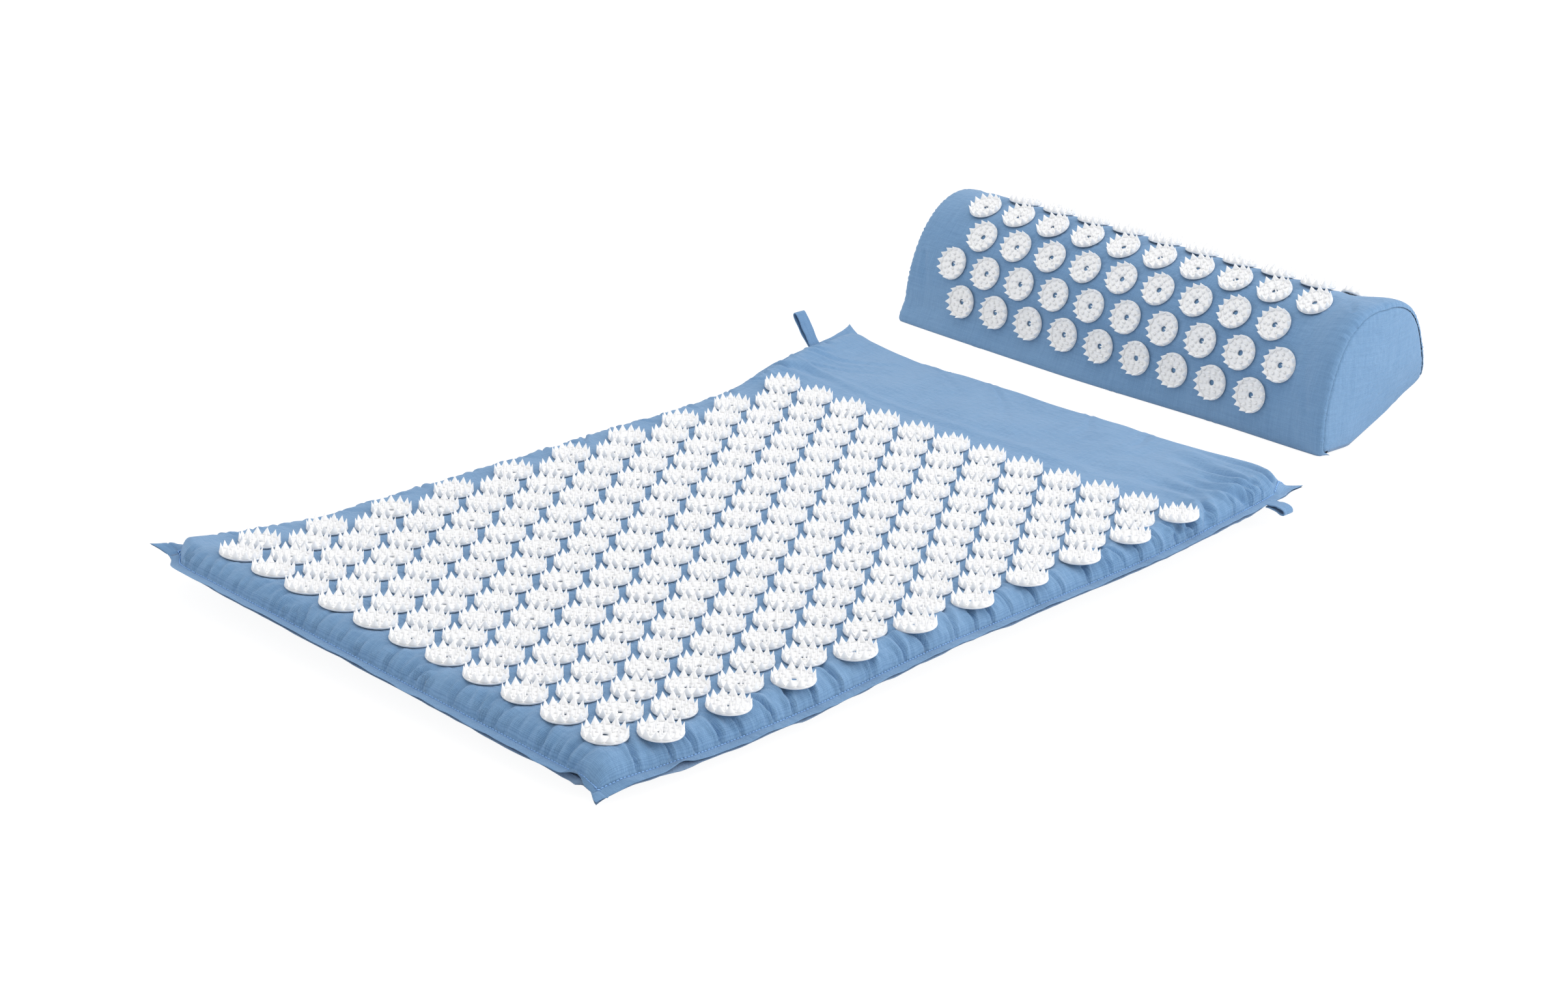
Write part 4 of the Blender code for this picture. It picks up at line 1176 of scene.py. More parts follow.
def make_end_cloth(name, side, seed):
    ring_y, ring_z = end_ring(190, ROLL - 0.35 * MM)
    rings = []
    for share in END_SHARES:
        y = ring_y * share
        z = END_MIDDLE + (ring_z - END_MIDDLE) * share
        dome = (2.6 if side > 0 else 7.5) * MM * (1 - share**2.6) ** 0.8
        valley = 1.7 * MM * np.exp(-(((1 - share) / 0.02) ** 2))
        crease = 0.35 * MM * hollows(y, z, 16 * MM, seed) * (1 - share**8)
        pleat = 0.22 * MM * wander(np.arange(len(y)) * 1.6 * MM, 2.6 * MM, seed + 1)
        pleat = pleat * ease((share - 0.84) / 0.12)
        x = side * (PILLOW_END_X + 0.2 * MM - valley + dome + crease + pleat)
        rings.append(np.stack((x, y, z), axis=-1))
    rings = np.stack(rings)
    points = settle_ends(rings)
    rows, columns = points.shape[:2]
    faces = grid_faces(rows, columns, closed=True).tolist()
    last, middle = (rows - 1) * columns, rows * columns
    faces += [[last + k, last + (k + 1) % columns, middle] for k in range(columns)]
    if side < 0:
        faces = [face[::-1] for face in faces]
    points = np.concatenate((points.reshape(-1, 3), points[-1].mean(axis=0)[None, :]))
    pattern = np.concatenate((rings[..., 1:].reshape(-1, 2), [[0.0, END_MIDDLE]]))
    piece = mesh_piece(name, into_world(points, pillow_frame), faces, pattern)
    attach(piece, "pillow")
    return piece


pillow_end_left = make_end_cloth("pillow_end_cloth_left", -1, 91)
pillow_end_right = make_end_cloth("pillow_end_cloth_right", 1, 95)
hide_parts("pillow_end_panel_left")
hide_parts("pillow_end_panel_right")
print("end cloth faces:", len(pillow_end_right.data.polygons))

# %% Base cloth and foam of the pillow
BASE_REST = 0.35 * MM
PILLOW_LINING = 1.6 * MM
# how large the foam's section is, and how far outside the end seam it lies in millimetres
FOAM_STATIONS = ((0.3, 0.6), (0.72, -0.6), (0.87, -3.5), (0.93, -7), (0.955, -15)) + tuple(
    (0.97, -24 - 13.6 * k) for k in range(14))


def make_base_cloth():
    across, inset = rolled_lines(60, np.linspace(0.2, 1.0, 6) * pi / 2, ROLL_RUN - 0.2 * MM)
    front = -PILLOW_DEPTH / 2 + FRONT_CORNER_RUN + 6.5 * MM
    rear_start = PILLOW_DEPTH / 2 - PILLOW_CORNER
    flat_y = np.linspace(front, rear_start, 26)
    last = pi + asin(1.9 / 8)
    turned = np.linspace(3 * pi / 2, last, 8)[1:]
    rows = []
    for place in flat_y:
        y = np.full(across.shape, place)
        height = BASE_REST + 0.2 * MM * (1 + hollows(across, y, 24 * MM, 97))
        rows.append(np.stack((across, y, height + inset), axis=-1))
    for angle in turned:
        y, z = section_point(np.full(across.shape, angle), across, inset)
        rows.append(np.stack((across, y, np.maximum(z, BASE_REST)), axis=-1))
    points = settle_ends(np.stack(rows))
    steps = np.linalg.norm(np.diff(points[:, 30], axis=0), axis=1)
    along = np.concatenate(([0.0], np.cumsum(steps)))
    pattern = np.stack(np.meshgrid(across, along), axis=-1)
    return cloth_piece("pillow_base_cloth", into_world(points, pillow_frame), pattern, face_down=True)


pillow_base_cloth = make_base_cloth()
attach(pillow_base_cloth, "pillow")
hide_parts("pillow_base_panel")


def make_pillow_foam():
    y, z = end_ring(60, PILLOW_LINING)
    rings = []
    for side in (-1, 1):
        part = []
        for scale, out in FOAM_STATIONS:
            x = np.full(y.shape, side * (PILLOW_END_X + (out - 1.6) * MM))
            part.append(np.stack((x, y * scale, END_MIDDLE + (z - END_MIDDLE) * scale), axis=-1))
        rings.extend(part if side < 0 else part[::-1][1:])
    points = settle_ends(np.stack(rings))
    rows, columns = points.shape[:2]
    faces = grid_faces(rows, columns, closed=True)[:, ::-1].tolist() + end_fans(rows, columns)
    ends = np.stack((points[0].mean(axis=0), points[-1].mean(axis=0)))
    points = into_world(np.concatenate((points.reshape(-1, 3), ends)), pillow_frame)
    return mesh_piece("pillow_foam_bolster", points, faces, sharp=radians(50))


pillow_foam = make_pillow_foam()
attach(pillow_foam, "pillow")
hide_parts("pillow_foam_core")
print("foam bolster faces:", len(pillow_foam.data.polygons))

# %% [markdown]
# ## Hanging loops
# A strap 10 mm wide is folded on itself and caught in the long sides near the head. The left one stands
# up, the right one hangs over the floor. Each is modelled as the strap really runs: one band that starts
# between the flange's two cloths, turns back at the tip and returns, with a narrow eye between. The band
# is made flat, and the hinge where it is sewn in is also the place that it turns about.

# %% Loops
LOOP_BAND = 10.0 * MM
STRAP_SECTION = (
    # across the band as a share of its half width, and through it in millimetres
    (-1.0, -0.42), (-1.03, 0.0), (-1.0, 0.42), (-0.84, 0.5), (-0.72, 0.36), (-0.3, 0.42), (0.3, 0.42),
    (0.72, 0.36), (0.84, 0.5), (1.0, 0.42), (1.03, 0.0), (1.0, -0.42), (0.5, -0.4), (-0.5, -0.4),
)


def loop_path(reach, sag, root, count=64):
    """Middle line of the strap in side view, from its lower root round the tip and back."""
    stations = np.array((-root, 0.08, 0.2, 0.45, 0.7, 0.9, 0.97, 0.985))
    eyes = np.array((0.22, 0.3, 0.45, 0.8, 1.0, 0.75, 0.4, 0.0))
    x = np.concatenate((stations, stations[-2::-1])) * reach
    z = np.concatenate((-eyes, eyes[-2::-1])) * 1.5 * MM
    z += np.sign(z) * 0.5 * MM
    gone = lengths_along(x, z)
    even = np.linspace(0, gone[-1], count)
    x = np.interp(even, gone, x)
    z = np.interp(even, gone, z)
    for _ in range(2):
        x[1:-1] = (x[:-2] + 2 * x[1:-1] + x[2:]) / 4
        z[1:-1] = (z[:-2] + 2 * z[1:-1] + z[2:]) / 4
    return x, z + sag * (x / reach) ** 2, even


def loop_hinge(side):
    x, y, curled = plan(side * HALF_WIDTH, LOOP_Y)
    return Vector((float(x) + side * 1.3 * MM, float(y), float(curled) + 7.5 * MM))


def make_loop(name, node, body, side, reach, tilt, sag, root, seed):
    """A folded strap that reaches out from its hinge and is tilted up there. The root is the share of
    its reach that is sewn in."""
    x, z, gone = loop_path(reach, sag, root)
    step_x, step_z = np.gradient(x), np.gradient(z)
    size = np.hypot(step_x, step_z)
    normal_x, normal_z = -step_z / size, step_x / size
    half = LOOP_BAND / 2
    rows, pattern = [], []
    for k in range(len(x)):
        narrow = 1 - 0.04 * np.sin(k * 0.35 + seed)
        ring = []
        for across, thick in STRAP_SECTION:
            out = thick * MM + 0.1 * MM * np.sin(k * 0.5 + across * 3 + seed)
            ring.append((x[k] + normal_x[k] * out, across * half * narrow, z[k] + normal_z[k] * out))
        rows.append(ring)
        pattern.append([(gone[k], across * half) for across, _ in STRAP_SECTION])
    faces = capped_faces(len(rows), len(STRAP_SECTION))
    turn = Matrix.Rotation(-tilt, 4, "Y")
    if side < 0:
        turn = Matrix.Rotation(pi, 4, "Z") @ turn
    hinge = Matrix.Translation(loop_hinge(side))
    placed = into_world(np.array(rows).reshape(-1, 3), hinge @ turn)
    piece = mesh_piece(name, placed, faces, np.array(pattern).reshape(-1, 2), sharp=radians(60))
    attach(piece, body)
    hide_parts(node)
    return piece


loop_left = make_loop(
    "left_hanging_strap", "mat_hanging_loop_left", "mat_loop_left", -1,
    reach=29 * MM, tilt=radians(49), sag=2 * MM, root=0.01, seed=1.0)
loop_right = make_loop(
    "right_hanging_strap", "mat_hanging_loop_right", "mat_loop_right", 1,
    reach=12 * MM, tilt=radians(2), sag=-2.5 * MM, root=0.25, seed=2.4)
print("loop hinges:", [tuple(round(part, 4) for part in loop_hinge(side)) for side in (-1, 1)])

# %% [markdown]
# ## Zips
# The cover opens at the mat's head edge and the pillow's at the back. A coil zip is really two plastic
# springs, sewn to two tapes and hooked into each other, so the coils are modelled as helices. The slider
# is a small casting with an upper and a lower plate round the coil, and its pull tab hangs on a bridge.

# %% Coil and tape
CHAIN_OUT = 3.2 * MM
CHAIN_RADIUS = 1.4 * MM
WIRE_RADIUS = 0.26 * MM
COIL_PITCH = 1.3 * MM


def zip_coil(name, length, place):
    """Two helices of thin wire side by side, hooked into each other along the zip."""
    steps = int(length / COIL_PITCH) * 10
    parts = []
    for side in (-1, 1):
        share = np.arange(steps + 1) / 10
        angle = side * 2 * pi * share
        x = -length / 2 + (share + (0.25 if side > 0 else 0.0)) * COIL_PITCH
        y = CHAIN_OUT + side * 0.42 * MM + 0.72 * MM * np.cos(angle)
        centre = np.stack((x, y, 1.05 * MM * np.sin(angle)), axis=-1)
        radial = np.stack((np.zeros_like(x), np.cos(angle), np.sin(angle)), axis=-1)
        tangent = np.gradient(centre, axis=0)
        tangent /= np.linalg.norm(tangent, axis=1, keepdims=True)
        other = np.cross(tangent, radial)
        ring = []
        for k in range(5):
            turn = 2 * pi * k / 5
            ring.append(centre + WIRE_RADIUS * (radial * cos(turn) + other * sin(turn)))
        tube = np.stack(ring, axis=1).reshape(-1, 3)
        parts.append((tube, grid_faces(steps + 1, 5, closed=True).tolist()))
    points, faces = join_parts(parts)
    return mesh_piece(name, into_world(points, place), faces)


def zip_tape(name, length, insert, place):
    """The woven tape: a thin band with rounded edges and a raised line of thread beside the coil."""
    upper = (
        (CHAIN_OUT - 0.9 * MM, 0.26 * MM), (0.8 * MM, 0.36 * MM), (0.4 * MM, 0.4 * MM),
        (0.0, 0.34 * MM), (-insert * 0.5, 0.32 * MM), (-insert, 0.28 * MM),
    )
    section = ((CHAIN_OUT - 0.7 * MM, 0.0),) + upper + tuple((y, -z) for y, z in upper[::-1])
    stations = np.linspace(-length / 2, length / 2, 90)
    points = np.array([(x, y, z) for x in stations for y, z in section])
    faces = [face[::-1] for face in capped_faces(len(stations), len(section))]
    pattern = [(x, y + z) for x in stations for y, z in section]
    return mesh_piece(name, into_world(points, place), faces, pattern, sharp=radians(50))


pillow_zip_frame = pillow_frame @ Matrix.Translation((0, PILLOW_DEPTH / 2, 7.3 * MM))
skew_at_head = float(plan(0.0, HALF_LENGTH)[0])
mat_zip_frame = Matrix.Translation((skew_at_head, HALF_LENGTH, 7.5 * MM))
zip_sets = (
    # whose zip it is, its frame, its length and how far its tape goes under the cloth
    ("mat", mat_zip_frame, 236 * MM, 6 * MM),
    ("pillow", pillow_zip_frame, 280 * MM, 0.8 * MM),
)
zip_tapes, zip_coils = [], []
for owner, place, length, insert in zip_sets:
    tape = zip_tape(f"{owner}_zip_woven_tape", length, insert, place)
    coil = zip_coil(f"{owner}_zip_coil", length, place)
    for piece in (tape, coil):
        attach(piece, owner)
    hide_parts(f"{owner}_zip_tape")
    zip_tapes.append(tape)
    zip_coils.append(coil)
print("zip coils:", [len(coil.data.polygons) for coil in zip_coils])

# %% Sliders and pull tabs
def outline_ring(outline, height, inset):
    """The outline at a height, drawn in towards its middle."""
    centre = outline.mean(axis=0)
    away = outline - centre
    size = np.linalg.norm(away, axis=1, keepdims=True)
    return np.column_stack((centre + away * (size - inset) / size, np.full(len(outline), height)))


def ringed_plate(outline, levels):
    """A plate from its outline: each level is a height and how far the outline is drawn in there."""
    rings = [outline_ring(outline, height, inset) for height, inset in levels]
    middles = [[*outline.mean(axis=0), height] for height in (levels[0][0], levels[-1][0])]
    faces = grid_faces(len(levels), len(outline), closed=True).tolist()
    return np.concatenate(rings + [middles]), faces + end_fans(len(levels), len(outline))


def flattened(wave, power):
    """A sine or cosine with its tops flattened, for outlines between an oval and a box."""
    return np.sign(wave) * np.abs(wave) ** power


def shield_outline(length, wide, narrow):
    """Plan of a slider plate: broad and round where the chain enters, narrower behind."""
    turns = np.linspace(0, 2 * pi, 40, endpoint=False)
    x = flattened(np.cos(turns), 0.55) * length / 2
    width = wide + (narrow - wide) * (x / length + 0.5)
    return np.stack((x, flattened(np.sin(turns), 0.6) * width / 2), axis=-1)


def plate_levels(low, high, bevel):
    """Levels of a plate with rounded edges."""
    return ((low, bevel), (low + bevel * 0.4, bevel * 0.3), (low + bevel, 0), (high - bevel, 0),
            (high - bevel * 0.4, bevel * 0.3), (high, bevel))


def round_bar(half, radius, sides=14, bevel=0.12 * MM):
    """A round bar across the zip, with bevelled ends."""
    levels = ((-half, radius - bevel), (-half + bevel, radius), (half - bevel, radius), (half, radius - bevel))
    points = []
    for y, size in levels:
        for k in range(sides):
            turn = 2 * pi * k / sides
            points.append((-size * sin(turn), y, -size * cos(turn)))
    return points, capped_faces(len(levels), sides)


def bridge_band(middle_y, half_length, base, top, width, thickness):
    """One lug of the slider: a flat strap that arches over the pull tab's bar."""
    section = ((-1, -1), (-1, 1), (-0.8, 1.25), (0.8, 1.25), (1, 1), (1, -1))
    turns = np.linspace(0, pi, 18)
    centre = np.stack((-half_length * np.cos(turns), base + (top - base) * np.sin(turns) ** 0.7), axis=-1)
    step = np.gradient(centre, axis=0)
    step /= np.linalg.norm(step, axis=1, keepdims=True)
    normal = np.stack((-step[:, 1], step[:, 0]), axis=-1)
    points = []
    for place, out in zip(centre, normal):
        for across, thick in section:
            spot = place + out * thick * thickness / 2
            points.append((spot[0], middle_y + across * width / 2, spot[1]))
    return points, capped_faces(len(centre), len(section))


SLIDER_REACH = CHAIN_RADIUS + 0.3 * MM + 0.8 * MM
BARREL_HEIGHT = SLIDER_REACH + 0.3 * MM + 0.9 * MM
SLIDER_PLATE = 0.75 * MM
SLIDER_BEVEL = 0.22 * MM
TAPE_GAP = 0.75 * MM
WALL_Y = 2.1 * MM
WALL_HALF = 0.22 * MM
WALL_BEVEL = 0.08 * MM


def make_slider(name, node, body, place):
    """Two plates joined by a wall at each side, with a gap for the tape, and two lugs on top."""
    outline = shield_outline(8 * MM, 5.0 * MM, 4.4 * MM)
    parts = [
        ringed_plate(outline, plate_levels(SLIDER_REACH - SLIDER_PLATE, SLIDER_REACH, SLIDER_BEVEL)),
        ringed_plate(outline, plate_levels(-SLIDER_REACH, -SLIDER_REACH + SLIDER_PLATE, SLIDER_BEVEL)),
    ]
    wall_top = SLIDER_REACH - 0.3 * MM
    for side, low, high in (
        (-1, TAPE_GAP, wall_top), (-1, -wall_top, -TAPE_GAP), (1, -wall_top, wall_top),
    ):
        wall = np.array([[x, side * WALL_Y] for x in np.linspace(-3.2, 3.2, 12) * MM])
        edge = np.concatenate((wall + (0, WALL_HALF), (wall - (0, WALL_HALF))[::-1]))
        parts.append(ringed_plate(edge, plate_levels(low, high, WALL_BEVEL)))
    for side in (-1, 1):
        parts.append(bridge_band(
            side * WALL_Y, 1.2 * MM, wall_top, BARREL_HEIGHT + 0.85 * MM, 0.78 * MM, 0.7 * MM))
    points, faces = join_parts(parts)
    piece = mesh_piece(name, into_world(points, place), faces, sharp=radians(40))
    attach(piece, body)
    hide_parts(node)
    return piece


def make_pull_tab(name, node, body, place):
    """A bar between the lugs and a slim tongue with an eye, a waist and a rounded end."""
    turns = np.linspace(0, 2 * pi, 44, endpoint=False)
    x = 9.4 * MM - np.cos(turns) * 8.5 * MM
    half = (1.05 + 0.35 * ease((x / MM - 6) / 7)) * MM
    outer = np.stack((x, flattened(np.sin(turns), 0.32) * half), axis=-1)
    eye_x = 13.6 * MM - np.cos(turns) * 2.1 * MM
    eye = np.stack((eye_x, flattened(np.sin(turns), 0.6) * 0.55 * MM), axis=-1)
    rings = [outline_ring(flat, height * MM, inset * MM) for flat, height, inset in (
        (outer, -0.42, 0.14), (outer, -0.28, 0.0), (outer, 0.28, 0.0), (outer, 0.42, 0.14),
        (eye, 0.42, -0.12), (eye, 0.28, 0.0), (eye, -0.28, 0.0), (eye, -0.42, -0.12),
    )]
    tongue = (np.concatenate(rings), grid_faces(len(rings), len(turns), closed=True, looped=True))
    points, faces = join_parts([tongue, round_bar(1.4 * MM, 0.8 * MM)])
    piece = mesh_piece(name, into_world(points, place), faces, sharp=radians(40))
    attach(piece, body)
    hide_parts(node)
    return piece


zip_metal = []
for owner, place, length, _ in zip_sets:
    start = place @ Matrix.Translation((-length / 2 + 6 * MM, CHAIN_OUT, 0))
    hinge = start @ Matrix.Translation((0, 0, BARREL_HEIGHT))
    zip_metal += [
        make_slider(f"{owner}_zip_slider_body", f"{owner}_zip_slider", f"{owner}_slider", start),
        make_pull_tab(f"{owner}_zip_pull", f"{owner}_zip_pull_tab", f"{owner}_pull", hinge),
    ]
print("zip metal faces:", [len(piece.data.polygons) for piece in zip_metal])

# %% [markdown]
# ## Weave
# Every cloth here is the same plain weave: one thread over, one under. The group below draws it from the
# flat pattern in metres. It gives a height for the bump and a tone that is lower where the weave lies low,
# which is painted shade between the threads. Slow noise makes some threads thicker than others, as in real
# cotton, and changes the tone at random too. Cloth, tape and strap all use it, each with its own thread.

# %% Node helpers
def new_group(name, inputs, outputs):
    group = bpy.data.node_groups.new(name, "ShaderNodeTree")
    for socket, kind, value in inputs:
        made = group.interface.new_socket(socket, in_out="INPUT", socket_type=kind)
        if value is not None:
            made.default_value = value
    for socket, kind in outputs:
        group.interface.new_socket(socket, in_out="OUTPUT", socket_type=kind)
    return group, group.nodes.new("NodeGroupInput"), group.nodes.new("NodeGroupOutput")


def feed(tree, socket, value):
    """Links a socket to another node's output, or sets it to a plain value."""
    if isinstance(value, bpy.types.NodeSocket):
        tree.links.new(value, socket)
    else:
        socket.default_value = value


def math_node(tree, operation, *values):
    node = tree.nodes.new("ShaderNodeMath")
    node.operation = operation
    for socket, value in zip(node.inputs, values):
        feed(tree, socket, value)
    return node.outputs[0]


def vector_node(tree, operation, *values):
    node = tree.nodes.new("ShaderNodeVectorMath")
    node.operation = operation
    for socket, value in zip(node.inputs, values):
        feed(tree, socket, value)
    return node.outputs[0]


def noise_node(tree, vector, scale, detail=2.0, roughness=0.5):
    node = tree.nodes.new("ShaderNodeTexNoise")
    node.inputs["Scale"].default_value = scale
    node.inputs["Detail"].default_value = detail
    node.inputs["Roughness"].default_value = roughness
    tree.links.new(vector, node.inputs["Vector"])
    return node.outputs["Fac"]


def stretched_noise(tree, vector, stretch, *values):
    """Noise on the pattern after it is stretched along its own directions."""
    return noise_node(tree, vector_node(tree, "MULTIPLY", vector, stretch), *values)


def mixed_colour(tree, share, first, second):
    node = tree.nodes.new("ShaderNodeMix")
    node.data_type = "RGBA"
    for number, value in ((0, share), (6, first), (7, second)):
        feed(tree, node.inputs[number], value)
    return node.outputs[2]


def spread(tree, *values):
    """A value brought from its own lowest and highest to new ones."""
    node = tree.nodes.new("ShaderNodeMapRange")
    for socket, value in zip(node.inputs, values):
        feed(tree, socket, value)
    return node.outputs[0]


def new_material(name):
    """A material, its node tree and its shader."""
    material = bpy.data.materials.new(name)
    material.use_nodes = True
    return material, material.node_tree, material.node_tree.nodes["Principled BSDF"]


def dress(finish, *pieces):
    for piece in pieces:
        piece.data.materials.append(finish)


print("node helpers ready")

# %% Plain weave group
def build_weave_group():
    group, start, end = new_group(
        "plain_weave",
        (("Pattern", "NodeSocketVector", None), ("Threads per metre", "NodeSocketFloat", 1500.0)),
        (("Height", "NodeSocketFloat"), ("Tone with painted shade", "NodeSocketFloat")),
    )

    def calc(operation, *values):
        return math_node(group, operation, *values)

    pattern = start.outputs["Pattern"]
    scaled = group.nodes.new("ShaderNodeVectorMath")
    scaled.operation = "SCALE"
    group.links.new(pattern, scaled.inputs[0])
    group.links.new(start.outputs["Threads per metre"], scaled.inputs["Scale"])
    sway = stretched_noise(group, pattern, (90, 90, 90), 1.0, 1.0)
    shift = group.nodes.new("ShaderNodeCombineXYZ")
    for number, size in enumerate((1.6, -1.6)):
        group.links.new(calc("MULTIPLY", sway, size), shift.inputs[number])
    parts = group.nodes.new("ShaderNodeSeparateXYZ")
    group.links.new(vector_node(group, "ADD", scaled.outputs[0], shift.outputs[0]), parts.inputs[0])
    across, along = parts.outputs[0], parts.outputs[1]
    warp = calc("ABSOLUTE", calc("SINE", calc("MULTIPLY", across, pi)))
    weft = calc("ABSOLUTE", calc("SINE", calc("MULTIPLY", along, pi)))
    over = calc("PINGPONG", calc("ADD", calc("FLOOR", across), calc("FLOOR", along)), 1.0)
    under = calc("SUBTRACT", 1.0, over)
    warp_top = calc("MULTIPLY", warp, calc("MULTIPLY_ADD", weft, 0.45, 0.55))
    weft_top = calc("MULTIPLY", weft, calc("MULTIPLY_ADD", warp, 0.45, 0.55))
    woven = calc("ADD", calc("MULTIPLY", warp_top, over), calc("MULTIPLY", weft_top, under))
    long_threads = stretched_noise(group, pattern, (2600, 60, 1), 0.45, 2.0)
    cross_threads = stretched_noise(group, pattern, (60, 2600, 1), 0.45, 2.0)
    slub = calc("ADD", long_threads, cross_threads)
    group.links.new(calc("MULTIPLY_ADD", slub, 0.5, woven), end.inputs["Height"])
    # The tone is the weave's height, which paints shade between the threads, plus the random slub tone.
    tone_with_painted_shade = calc("ADD", calc("MULTIPLY", woven, 0.5), calc("MULTIPLY", slub, 0.5))
    group.links.new(tone_with_painted_shade, end.inputs["Tone with painted shade"])
    return group


weave_group = build_weave_group()
print("weave group nodes:", len(weave_group.nodes))

# %% Cotton material
def node_group(tree, group):
    node = tree.nodes.new("ShaderNodeGroup")
    node.node_tree = group
    return node


def bump(tree, height, distance, strength, before=None):
    node = tree.nodes.new("ShaderNodeBump")
    node.inputs["Distance"].default_value = distance
    node.inputs["Strength"].default_value = strength
    tree.links.new(height, node.inputs["Height"])
    if before is not None:
        tree.links.new(before, node.inputs["Normal"])
    return node.outputs[0]


def cotton(name, deep, mid, light, threads, bump_depth, sheen=0.35):
    """Cotton cloth: threads darker where the weave lies low, which is painted shade, random slub colour, slow
    changes of colour and soft crumples.
    """
    material, tree, shader = new_material(name)
    plan_map = tree.nodes.new("ShaderNodeUVMap")
    plan_map.uv_map = "cloth_plan"
    pattern = plan_map.outputs[0]
    weave = node_group(tree, weave_group)
    tree.links.new(pattern, weave.inputs["Pattern"])
    weave.inputs["Threads per metre"].default_value = threads
    tone_with_painted_shade = spread(tree, weave.outputs["Tone with painted shade"], 0.45, 1.0, 0.0, 1.0)
    # The deep colour falls where the weave lies low: painted shade between the threads.
    thread_colour_with_painted_shade = mixed_colour(tree, tone_with_painted_shade, deep, mid)
    patches = stretched_noise(tree, pattern, (14, 14, 14), 1.0, 4.0, 0.6)
    patched = mixed_colour(tree, spread(tree, patches, 0.3, 0.75, 0.0, 0.45), thread_colour_with_painted_shade, light)
    tree.links.new(patched, shader.inputs["Base Color"])
    crumple = stretched_noise(tree, pattern, (160, 240, 1), 1.0, 4.0, 0.55)
    soft = bump(tree, crumple, 0.0022, 0.55)
    woven = bump(tree, weave.outputs["Height"], bump_depth, 0.6, soft)
    tree.links.new(woven, shader.inputs["Normal"])
    tree.links.new(spread(tree, tone_with_painted_shade, 0.0, 1.0, 0.95, 0.82), shader.inputs["Roughness"])
    shader.inputs["Sheen Weight"].default_value = sheen
    shader.inputs["Sheen Roughness"].default_value = 0.45
    shader.inputs["Sheen Tint"].default_value = (0.75, 0.86, 1.0, 1.0)
    shader.inputs["Specular IOR Level"].default_value = 0.25
    return material


blue_cotton = cotton(
    "blue_cotton_weave", (0.105, 0.225, 0.41, 1), (0.19, 0.345, 0.56, 1), (0.23, 0.38, 0.58, 1), 1450, 0.00022)
blue_lining = cotton(
    "blue_underside_weave", (0.12, 0.2, 0.33, 1), (0.2, 0.3, 0.45, 1), (0.23, 0.33, 0.47, 1), 1450, 0.0002, 0.25)
strap_cotton = cotton(
    "blue_strap_weave", (0.1, 0.215, 0.4, 1), (0.185, 0.335, 0.55, 1), (0.22, 0.37, 0.57, 1), 1700, 0.00018)
tape_weave = cotton(
    "zip_tape_weave", (0.06, 0.13, 0.25, 1), (0.12, 0.23, 0.39, 1), (0.14, 0.25, 0.41, 1), 2400, 0.00015, 0.2)
dress(blue_cotton, mat_top_cloth, pillow_wrap_cloth, pillow_end_left, pillow_end_right)
dress(blue_lining, mat_bottom_cloth, pillow_base_cloth)
dress(strap_cotton, loop_left, loop_right)
dress(tape_weave, *zip_tapes)
print("cotton materials:", len(bpy.data.materials))

# %% [markdown]
# ## Thread, plastic, foam and metal
# The other finishes are simpler. The stitches are a lighter, glossier thread. The discs are
# white moulded plastic: nearly smooth, with the faint mottling of a mould and a little light passing
# through. The foam has small open cells, and the zip's metal parts are painted to match the cloth.

# %% Grain group and plain finishes
def build_grain_group():
    group, start, end = new_group(
        "fine_grain",
        (("Size", "NodeSocketFloat", 400.0), ("Detail", "NodeSocketFloat", 3.0)),
        (("Amount", "NodeSocketFloat"),),
    )
    place = group.nodes.new("ShaderNodeTexCoord")
    noise = group.nodes.new("ShaderNodeTexNoise")
    group.links.new(place.outputs["Object"], noise.inputs["Vector"])
    group.links.new(start.outputs["Size"], noise.inputs["Scale"])
    group.links.new(start.outputs["Detail"], noise.inputs["Detail"])
    group.links.new(noise.outputs["Fac"], end.inputs["Amount"])
    return group


grain_group = build_grain_group()


def grained(name, dark, light, size, bump_depth, rough, metallic=0.0):
    """A finish whose colour, gloss and surface all change a little with one fine grain."""
    material, tree, shader = new_material(name)
    grain = node_group(tree, grain_group)
    grain.inputs["Size"].default_value = size
    amount = grain.outputs["Amount"]
    tree.links.new(mixed_colour(tree, amount, dark, light), shader.inputs["Base Color"])
    tree.links.new(spread(tree, amount, 0.3, 0.7, *rough), shader.inputs["Roughness"])
    tree.links.new(bump(tree, amount, bump_depth, 0.5), shader.inputs["Normal"])
    shader.inputs["Metallic"].default_value = metallic
    return material


disc_plastic = grained(
    "white_moulded_plastic", (0.85, 0.855, 0.865, 1), (0.905, 0.905, 0.912, 1), 260, 0.00003, (0.4, 0.52))
disc_shader = disc_plastic.node_tree.nodes["Principled BSDF"]
disc_shader.inputs["Subsurface Weight"].default_value = 0.45
disc_shader.inputs["Subsurface Scale"].default_value = 0.0016
disc_shader.inputs["Subsurface Radius"].default_value = (1.0, 1.0, 1.08)
thread_finish = grained(
    "light_blue_thread", (0.17, 0.36, 0.68, 1), (0.3, 0.52, 0.84, 1), 1800, 0.0001, (0.45, 0.65))
foam_finish = grained(
    "cream_open_foam", (0.72, 0.64, 0.45, 1), (0.9, 0.85, 0.68, 1), 900, 0.0008, (0.85, 0.98))
coil_finish = grained(
    "blue_nylon_coil", (0.09, 0.17, 0.29, 1), (0.14, 0.25, 0.4, 1), 700, 0.00005, (0.35, 0.5))
metal_finish = grained(
    "painted_zip_metal", (0.23, 0.34, 0.48, 1), (0.33, 0.45, 0.6, 1), 500, 0.00005, (0.3, 0.45), 0.35)
dress(disc_plastic, *disc_rows)
dress(thread_finish, mat_edge_stitches)
dress(foam_finish, mat_foam_sheet, pillow_foam)
dress(coil_finish, *zip_coils)
dress(metal_finish, *zip_metal)
print("materials:", sorted(material.name for material in bpy.data.materials)[:20])

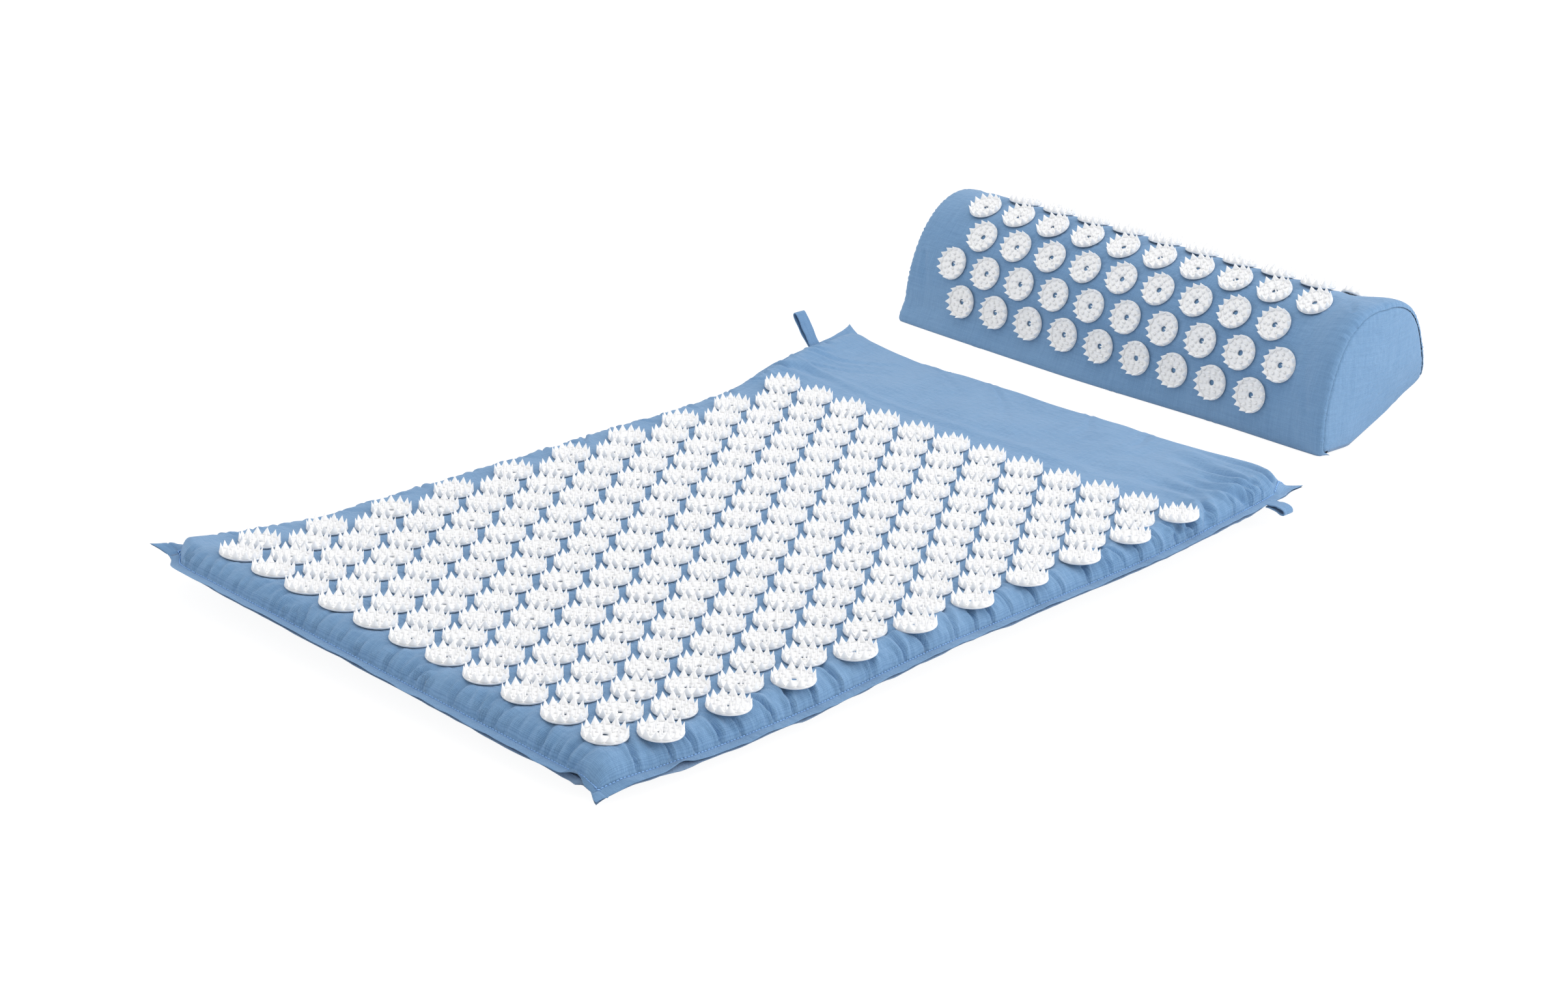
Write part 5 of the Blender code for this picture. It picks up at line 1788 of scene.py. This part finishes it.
# %% [markdown]
# ## Studio
# The photograph was taken on white, with a large soft light above and a stronger one to the right, so
# surfaces that face up or right are brighter than those that face left, where only a weak light fills
# in. The floor is white. To the camera it also glows a little, so that it reaches pure white around a
# faint shadow, and that glow lights nothing. The world is pure white to the camera and dimmer as light.

# %% Floor, lamps and world
def seen_directly(tree):
    """1 where the camera sees the surface itself, in a mirror or through glass, and 0 for other light."""
    path = tree.nodes.new("ShaderNodeLightPath")
    seen = math_node(tree, "MAXIMUM", path.outputs["Is Camera Ray"], path.outputs["Is Glossy Ray"])
    return math_node(tree, "MAXIMUM", seen, path.outputs["Is Transmission Ray"])


def make_floor():
    lines = np.linspace(-6.0, 6.0, 9)
    x, y = np.meshgrid(lines, lines)
    points = np.stack((x, y, np.zeros_like(x)), axis=-1)
    floor = mesh_piece("studio_floor", points.reshape(-1, 3), grid_faces(9, 9))
    material, tree, shader = new_material("white_studio_floor")
    shader.inputs["Base Color"].default_value = (0.86, 0.86, 0.86, 1)
    shader.inputs["Roughness"].default_value = 0.9
    glow = tree.nodes.new("ShaderNodeEmission")
    glow.inputs["Color"].default_value = (1, 1, 1, 1)
    glow.inputs["Strength"].default_value = 1.12
    blend = tree.nodes.new("ShaderNodeMixShader")
    tree.links.new(math_node(tree, "MULTIPLY", seen_directly(tree), 0.82), blend.inputs[0])
    tree.links.new(shader.outputs[0], blend.inputs[1])
    tree.links.new(glow.outputs[0], blend.inputs[2])
    tree.links.new(blend.outputs[0], tree.nodes["Material Output"].inputs["Surface"])
    dress(material, floor)


def add_lamp(name, place, target, size, power):
    lamp_data = bpy.data.lights.new(name, "AREA")
    lamp_data.shape = "RECTANGLE"
    lamp_data.size = size[0]
    lamp_data.size_y = size[1]
    lamp_data.energy = power
    lamp = bpy.data.objects.new(name, lamp_data)
    lamp.location = place
    lamp.rotation_euler = (Vector(target) - Vector(place)).to_track_quat("-Z", "Y").to_euler()
    scene.collection.objects.link(lamp)
    return lamp


def make_world():
    world = bpy.data.worlds.new("white_studio")
    scene.world = world
    world.use_nodes = True
    tree = world.node_tree
    background = tree.nodes["Background"]
    background.inputs["Color"].default_value = (1, 1, 1, 1)
    strength = math_node(tree, "MULTIPLY_ADD", seen_directly(tree), 0.28, 0.72)
    tree.links.new(strength, background.inputs["Strength"])


make_floor()
lamps = [
    add_lamp("top_softbox", (0.1, 0.4, 1.9), (0, 0.0, 0), (2.6, 2.4), 17),
    add_lamp("right_softbox", (2.0, 1.5, 1.0), (0, 0.15, 0.05), (1.6, 1.4), 32),
    add_lamp("left_fill", (-1.9, -1.5, 1.2), (-0.1, 0.0, 0), (1.6, 1.2), 11),
]
make_world()
scene.view_settings.view_transform = "Standard"
print("lamps:", [lamp.name for lamp in lamps])

# %% Update the scene
bpy.context.view_layer.update()
